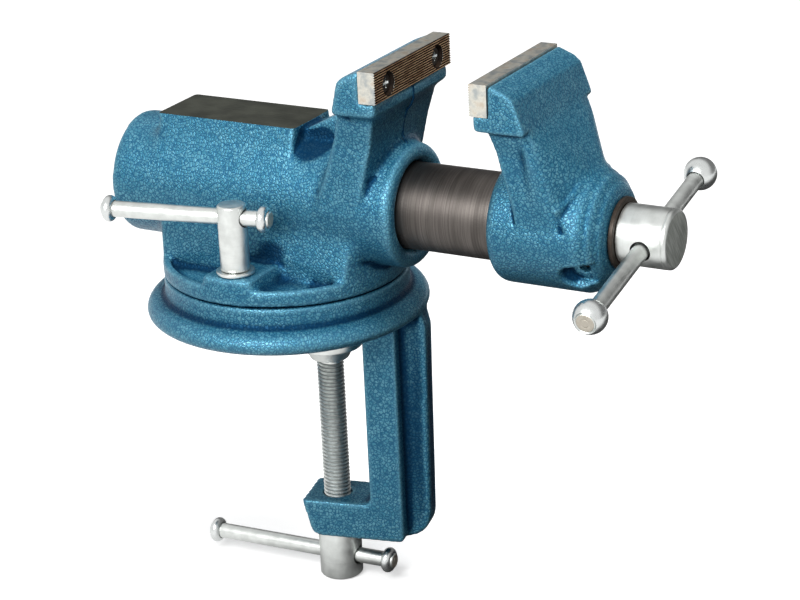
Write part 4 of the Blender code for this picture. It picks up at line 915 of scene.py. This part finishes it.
def make_clamp_screw():
    """The plated screw: its turned core, head and ball, and the thread wound round it."""
    thread_top = -24.6 * MM
    head_top = -119 * MM
    head_low = -144.7 * MM
    core = 5.75 * MM
    outline = [(0, head_low), (9.9 * MM, head_low), (11 * MM, head_low + 1.1 * MM), (11 * MM, head_top)]
    outline += [(6.6 * MM, head_top), (core, head_top + 1.5 * MM), (core, thread_top - MM)]
    outline += [(3.9 * MM, thread_top), (3.4 * MM, thread_top)]
    outline += in_metres(arc((0, -19.7), 4.6, -42, 80, 12)) + [(0, -15.1 * MM)]
    mesh = lathe(softened(outline, 0.4 * MM), 96, (CLAMP_X, CLAMP_Y, 0))
    hole = lathe(rod(5 * MM, -16 * MM, 16 * MM), 64, CLAMP_BAR_PLACE, CLAMP_BAR_WAY)
    made = shown("clamp_screw_core", carved(mesh, [hole]), ZINC_Z)
    fitted(made, "clamp_screw", "zinc_plate", "clamp_screw")
    values = {"Radius": 6.9 * MM, "Pitch": 2 * MM, "Turns": 46.0, "Depth": 1.1 * MM}
    values |= {"Foot": (CLAMP_X, CLAMP_Y, -117.6 * MM), "Metal": THREAD}
    mesh = grown("thread", thread_tree(), values, THREAD)
    fitted(shown("clamp_screw_thread", mesh, THREAD), "clamp_screw", "zinc_plate")


def make_pad():
    """The round pad on the screw's ball, hollow below for it."""
    top = -13.0
    outline = [(0, top), (17, top), (17, top - 4.2), (12.5, top - 5.6), (9.5, top - 11.2), (4, top - 11.2)]
    outline += [(4, top - 9.6), (5, top - 8.4), (5, top - 1.8), (0, top - 1.8)]
    mesh = lathe(softened(in_metres(outline), 0.7 * MM, 4), 96, (CLAMP_X, CLAMP_Y, 0))
    fitted(shown("clamp_pad_turned", mesh, ZINC_Z), "clamp_pad", "zinc_plate", "clamp_pad")


# Jaw plates and their screws: each jaw's name, its plate's face, the way that this looks, and its body
JAWS = (("fixed", FIXED_FACE_X, 1, "vise_body"), ("moving", MOVING_FACE_X, -1, "moving_jaw"))
TOOTH_DEPTH = 0.65 * MM
RECESS_DEPTH = 3 * MM


def plate_mesh(face_x, outward):
    """A plate with a serrated face: each tooth is a narrow land between two cut grooves."""
    back_x = face_x - outward * PLATE_THICKNESS
    root_x = face_x - outward * TOOTH_DEPTH
    pitch = (JAW_TOP_Z - PLATE_BOTTOM_Z) / PLATE_TEETH
    outline = [(back_x, PLATE_BOTTOM_Z)]
    for tooth in range(PLATE_TEETH):
        low = PLATE_BOTTOM_Z + tooth * pitch
        outline += [(root_x, low), (face_x, low + pitch * 0.32), (face_x, low + pitch * 0.68)]
    outline += [(root_x, JAW_TOP_Z), (back_x, JAW_TOP_Z)]
    bm = bmesh.new()
    ends = [[bm.verts.new((x, y, z)) for x, z in outline] for y in (-JAW_HALF, JAW_HALF)]
    bm.faces.new(ends[0])
    bm.faces.new(ends[1])
    for index in range(len(outline)):
        after = (index + 1) % len(outline)
        bm.faces.new([ends[0][index], ends[0][after], ends[1][after], ends[1][index]])
    bmesh.ops.recalc_face_normals(bm, faces=bm.faces)
    return plain_mesh(bm, "plate")


def screw_mesh(outward):
    """A countersunk screw, its head's face at the origin, with a cross recess, whose walls are later given
    bright metal: partly worn edges, partly painted highlight.
    """
    outline = [(0, -13), (1.9, -13), (2.3, -12.4), (2.3, -3.2), (4.3, -0.9), (4.3, -0.3), (4.0, 0), (0, 0)]
    mesh = lathe(in_metres(outline), 64, (0, 0, 0), (outward, 0, 0))
    blades = []
    for wide, narrow in ((2.9, 0.6), (0.6, 2.9)):
        rim = [(outward * 0.6 * MM, s * wide * MM, t * narrow * MM) for s in (-1, 1) for t in (-1, 1)]
        deep = [(-outward * 2.1 * MM, s * min(wide, 0.9) * MM, t * min(narrow, 0.9) * MM * 0.8)
                for s in (-1, 1) for t in (-1, 1)]
        blades.append(hulled(rim + deep))
    return carved(mesh, blades)


def screws_tree():
    """A screw at each point of a row across the plate."""
    inputs = [("Screw", "NodeSocketObject"), ("First", "NodeSocketVector"), ("Step", "NodeSocketVector")]
    inputs += [("Count", "NodeSocketInt"), ("Metal", "NodeSocketMaterial")]
    tree, given, result = new_tree("plate_screws", inputs)
    value = given.outputs
    row = {"Count": value["Count"], "Start Location": value["First"], "Offset": value["Step"]}
    row = node(tree, "GeometryNodeMeshLine", row)
    screw = node(tree, "GeometryNodeObjectInfo", {"Object": value["Screw"]})
    copies = {"Points": row.outputs[0], "Instance": screw.outputs["Geometry"]}
    copies = node(tree, "GeometryNodeInstanceOnPoints", copies)
    real = node(tree, "GeometryNodeRealizeInstances", {0: copies.outputs[0]})
    coated = node(tree, "GeometryNodeSetMaterial", {"Geometry": real.outputs[0], "Material": value["Metal"]})
    tree.links.new(coated.outputs[0], result.inputs[0])
    return tree


def make_plates():
    """Each jaw's plate, scaled on its teeth's flanks and worn on their crests, with its two screws."""
    tree = screws_tree()
    half = PLATE_SCREW_HALF
    height = PLATE_SCREW_Z
    hole = in_metres([(0, -12), (2.6, -12), (2.6, -4.6), (4.7, -2.2), (5.7, -0.2), (5.7, 3), (0, 3)])
    for jaw, face_x, outward, body in JAWS:
        cutters = [lathe(hole, 64, (face_x, side * half, height), (outward, 0, 0)) for side in (-1, 1)]
        plate = shown(f"{jaw}_plate", carved(plate_mesh(face_x, outward), cutters), GROUND, SCALED, CREST)
        for face in plate.data.polygons:
            if face.normal[0] * outward > 0.2:
                face.material_index = 2 if abs(face.center[0] - face_x) < FLAT_MARGIN else 1
        fitted(plate, body, "ground_steel", f"{jaw}_jaw_plate")
        sample = placed("screw_sample", screw_mesh(outward))
        first = (face_x - outward * 1.6 * MM, -half, height)
        values = {"Screw": sample, "First": first, "Step": (0.0, 2 * half, 0.0), "Count": 2, "Metal": BLACK}
        mesh = grown(f"{jaw}_screws", tree, values, BLACK)
        bpy.data.objects.remove(sample)
        names = [f"{jaw}_plate_screw_{side}" for side in ("near", "far")]
        made = shown(f"{jaw}_plate_screws", mesh, BLACK, POLISHED)
        # Painted highlight, partly wear: the cross recess walls take bright polished steel, standing for
        # glints
        for face in made.data.polygons:
            reach = math.hypot(abs(face.center[1]) - half, face.center[2] - height)
            depth = (first[0] - face.center[0]) * outward
            wall = abs(face.normal[0]) < 0.95 and depth < RECESS_DEPTH
            face.material_index = wall and reach < 3 * MM
        fitted(made, body, "black_steel", *names)


# Pieces inside, which keep their solids' shape
def finish_inner_pieces():
    """Oiled black steel for the nut, the T-bolt and the retaining screw, zinc for the swivel's bolt."""
    metals = {"spindle_nut": BLACK, "t_bolt": BLACK, "spindle_retaining_screw": BLACK, "swivel_bolt": ZINC_Z}
    for name, metal in metals.items():
        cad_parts[name].data.materials.clear()
        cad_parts[name].data.materials.append(metal)


# Studio, with the floor's slab in metres
FLOOR_HALF = 6
FLOOR_BOTTOM_Z = -0.16


def make_room():
    """A white room. The floor is lifted to white where the camera sees it, and keeps the vise's shadow. What
    mirrors in the metal is a softer room: darker behind the vise, with a floor that is bright only at the
    vise's left front and further off."""
    world = bpy.data.worlds.new("studio")
    bpy.context.scene.world = world
    world.use_nodes = True
    tree = world.node_tree
    path = node(tree, "ShaderNodeLightPath").outputs
    way = node(tree, "ShaderNodeTexCoord").outputs["Generated"]
    behind = node(tree, "ShaderNodeVectorMath", {0: way, 1: (0.2, 0.85, -0.35)}, operation="DOT_PRODUCT")
    mirrored = spread(tree, behind.outputs["Value"], 0.0, 0.45, 0.95, 0.2)
    ahead = node(tree, "ShaderNodeVectorMath", {0: way, 1: (-0.5, -0.6, 0.6)}, operation="DOT_PRODUCT")
    fill = spread(tree, ahead.outputs["Value"], -0.6, 0.9, 0.02, 0.27)
    room = blended(tree, path["Is Glossy Ray"], fill, mirrored)
    room = blended(tree, path["Is Camera Ray"], room, linear("#ffffff"))
    tree.links.new(room, tree.nodes["Background"].inputs["Color"])

    made, tree, shader, place = material("studio_floor", Roughness=0.9)
    path = node(tree, "ShaderNodeLightPath").outputs
    colour = blended(tree, path["Is Camera Ray"], linear("#383838"), linear("#f4f4f4"))
    tree.links.new(colour, shader.inputs["Base Color"])
    far = node(tree, "ShaderNodeVectorMath", {0: place}, operation="LENGTH").outputs["Value"]
    near = node(tree, "ShaderNodeVectorMath", {0: place, 1: (-0.55, -0.83, 0.0)}, operation="DOT_PRODUCT")
    near = near.outputs["Value"]
    beyond = node(tree, "ShaderNodeMath", {0: far, 1: 0.25}, operation="SUBTRACT").outputs[0]
    beyond = node(tree, "ShaderNodeMath", {0: beyond, 1: 0.0}, operation="MAXIMUM").outputs[0]
    around = node(tree, "ShaderNodeMath", {0: beyond, 1: 1.15, 2: near}, operation="MULTIPLY_ADD").outputs[0]
    bounced = spread(tree, near, 0.0, 0.3, 0.0, 0.08)
    sheen = blended(tree, path["Is Glossy Ray"], bounced, spread(tree, around, -0.04, 0.06, 0.0, 1.1))
    lift = blended(tree, path["Is Camera Ray"], sheen, spread(tree, far, 0.3, 1.6, 0.5, 0.8))
    glow = node(tree, "ShaderNodeEmission", {"Strength": lift})
    lit = node(tree, "ShaderNodeAddShader", {0: shader.outputs[0], 1: glow.outputs[0]})
    tree.links.new(lit.outputs[0], tree.nodes["Material Output"].inputs[0])
    low = (-FLOOR_HALF, -FLOOR_HALF, FLOOR_BOTTOM_Z)
    high = (FLOOR_HALF, FLOOR_HALF, cad_box[0][2] - 0.4 * MM)
    floor = shown("studio_floor", boxed(low, high), made)
    # The vise stands on the clamp screw's head, so the floor is always where that head is
    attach(floor, "clamp_pad")


def make_lamp(name, place, aim, size, power, mirrored=True):
    """A soft rectangular lamp turned to its aim. It shows in shiny metal only if it is mirrored."""
    light = bpy.data.lights.new(name, "AREA")
    light.shape = "RECTANGLE"
    light.size, light.size_y = size
    light.energy = power
    lamp = placed(name, light)
    lamp.location = place
    lamp.rotation_euler = (Vector(aim) - Vector(place)).to_track_quat("-Z", "Y").to_euler()
    lamp.visible_glossy = mirrored


def make_light():
    """The key lamp in front of the vise, and a larger light from high on its right."""
    make_lamp("key", (0.06, -0.67, 0.44), (0.06, 0, 0.06), (0.5, 0.4), 5.4)
    make_lamp("top", (0.36, 0.0, 1.15), (0.06, 0, 0.02), (0.5, 0.5), 16, False)


def make_camera():
    """The photograph's view: a long lens from the front right, a little above and very slightly rolled."""
    azimuth, elevation, roll = (math.radians(angle) for angle in (29.37, 20.93, -2.64))
    ahead = Vector((math.sin(azimuth), -math.cos(azimuth), 0))
    back = ahead * math.cos(elevation) + Vector((0, 0, math.sin(elevation)))
    level = Vector((math.cos(azimuth), math.sin(azimuth), 0))
    upright = back.cross(level)
    right = level * math.cos(roll) + upright * math.sin(roll)
    up = upright * math.cos(roll) - level * math.sin(roll)
    place = Vector((0.06353, 0, 0.01379)) + back * 1.2177
    data = bpy.data.cameras.new("camera")
    data.lens = 112.5
    data.sensor_width = 36
    camera = placed("camera", data)
    rows = [(right[k], up[k], back[k], place[k]) for k in range(3)]
    camera.matrix_world = Matrix(rows + [(0, 0, 0, 1)])
    bpy.context.scene.camera = camera


make_camera()
make_room()
make_light()
make_fixed_casting()
make_mould_line()
make_moving_casting()
make_base_casting()
make_slide()
make_spindle()
make_ring()
make_bars()
make_lock()
make_clamp_screw()
make_pad()
make_plates()
finish_inner_pieces()
bpy.context.scene.view_settings.view_transform = "Standard"
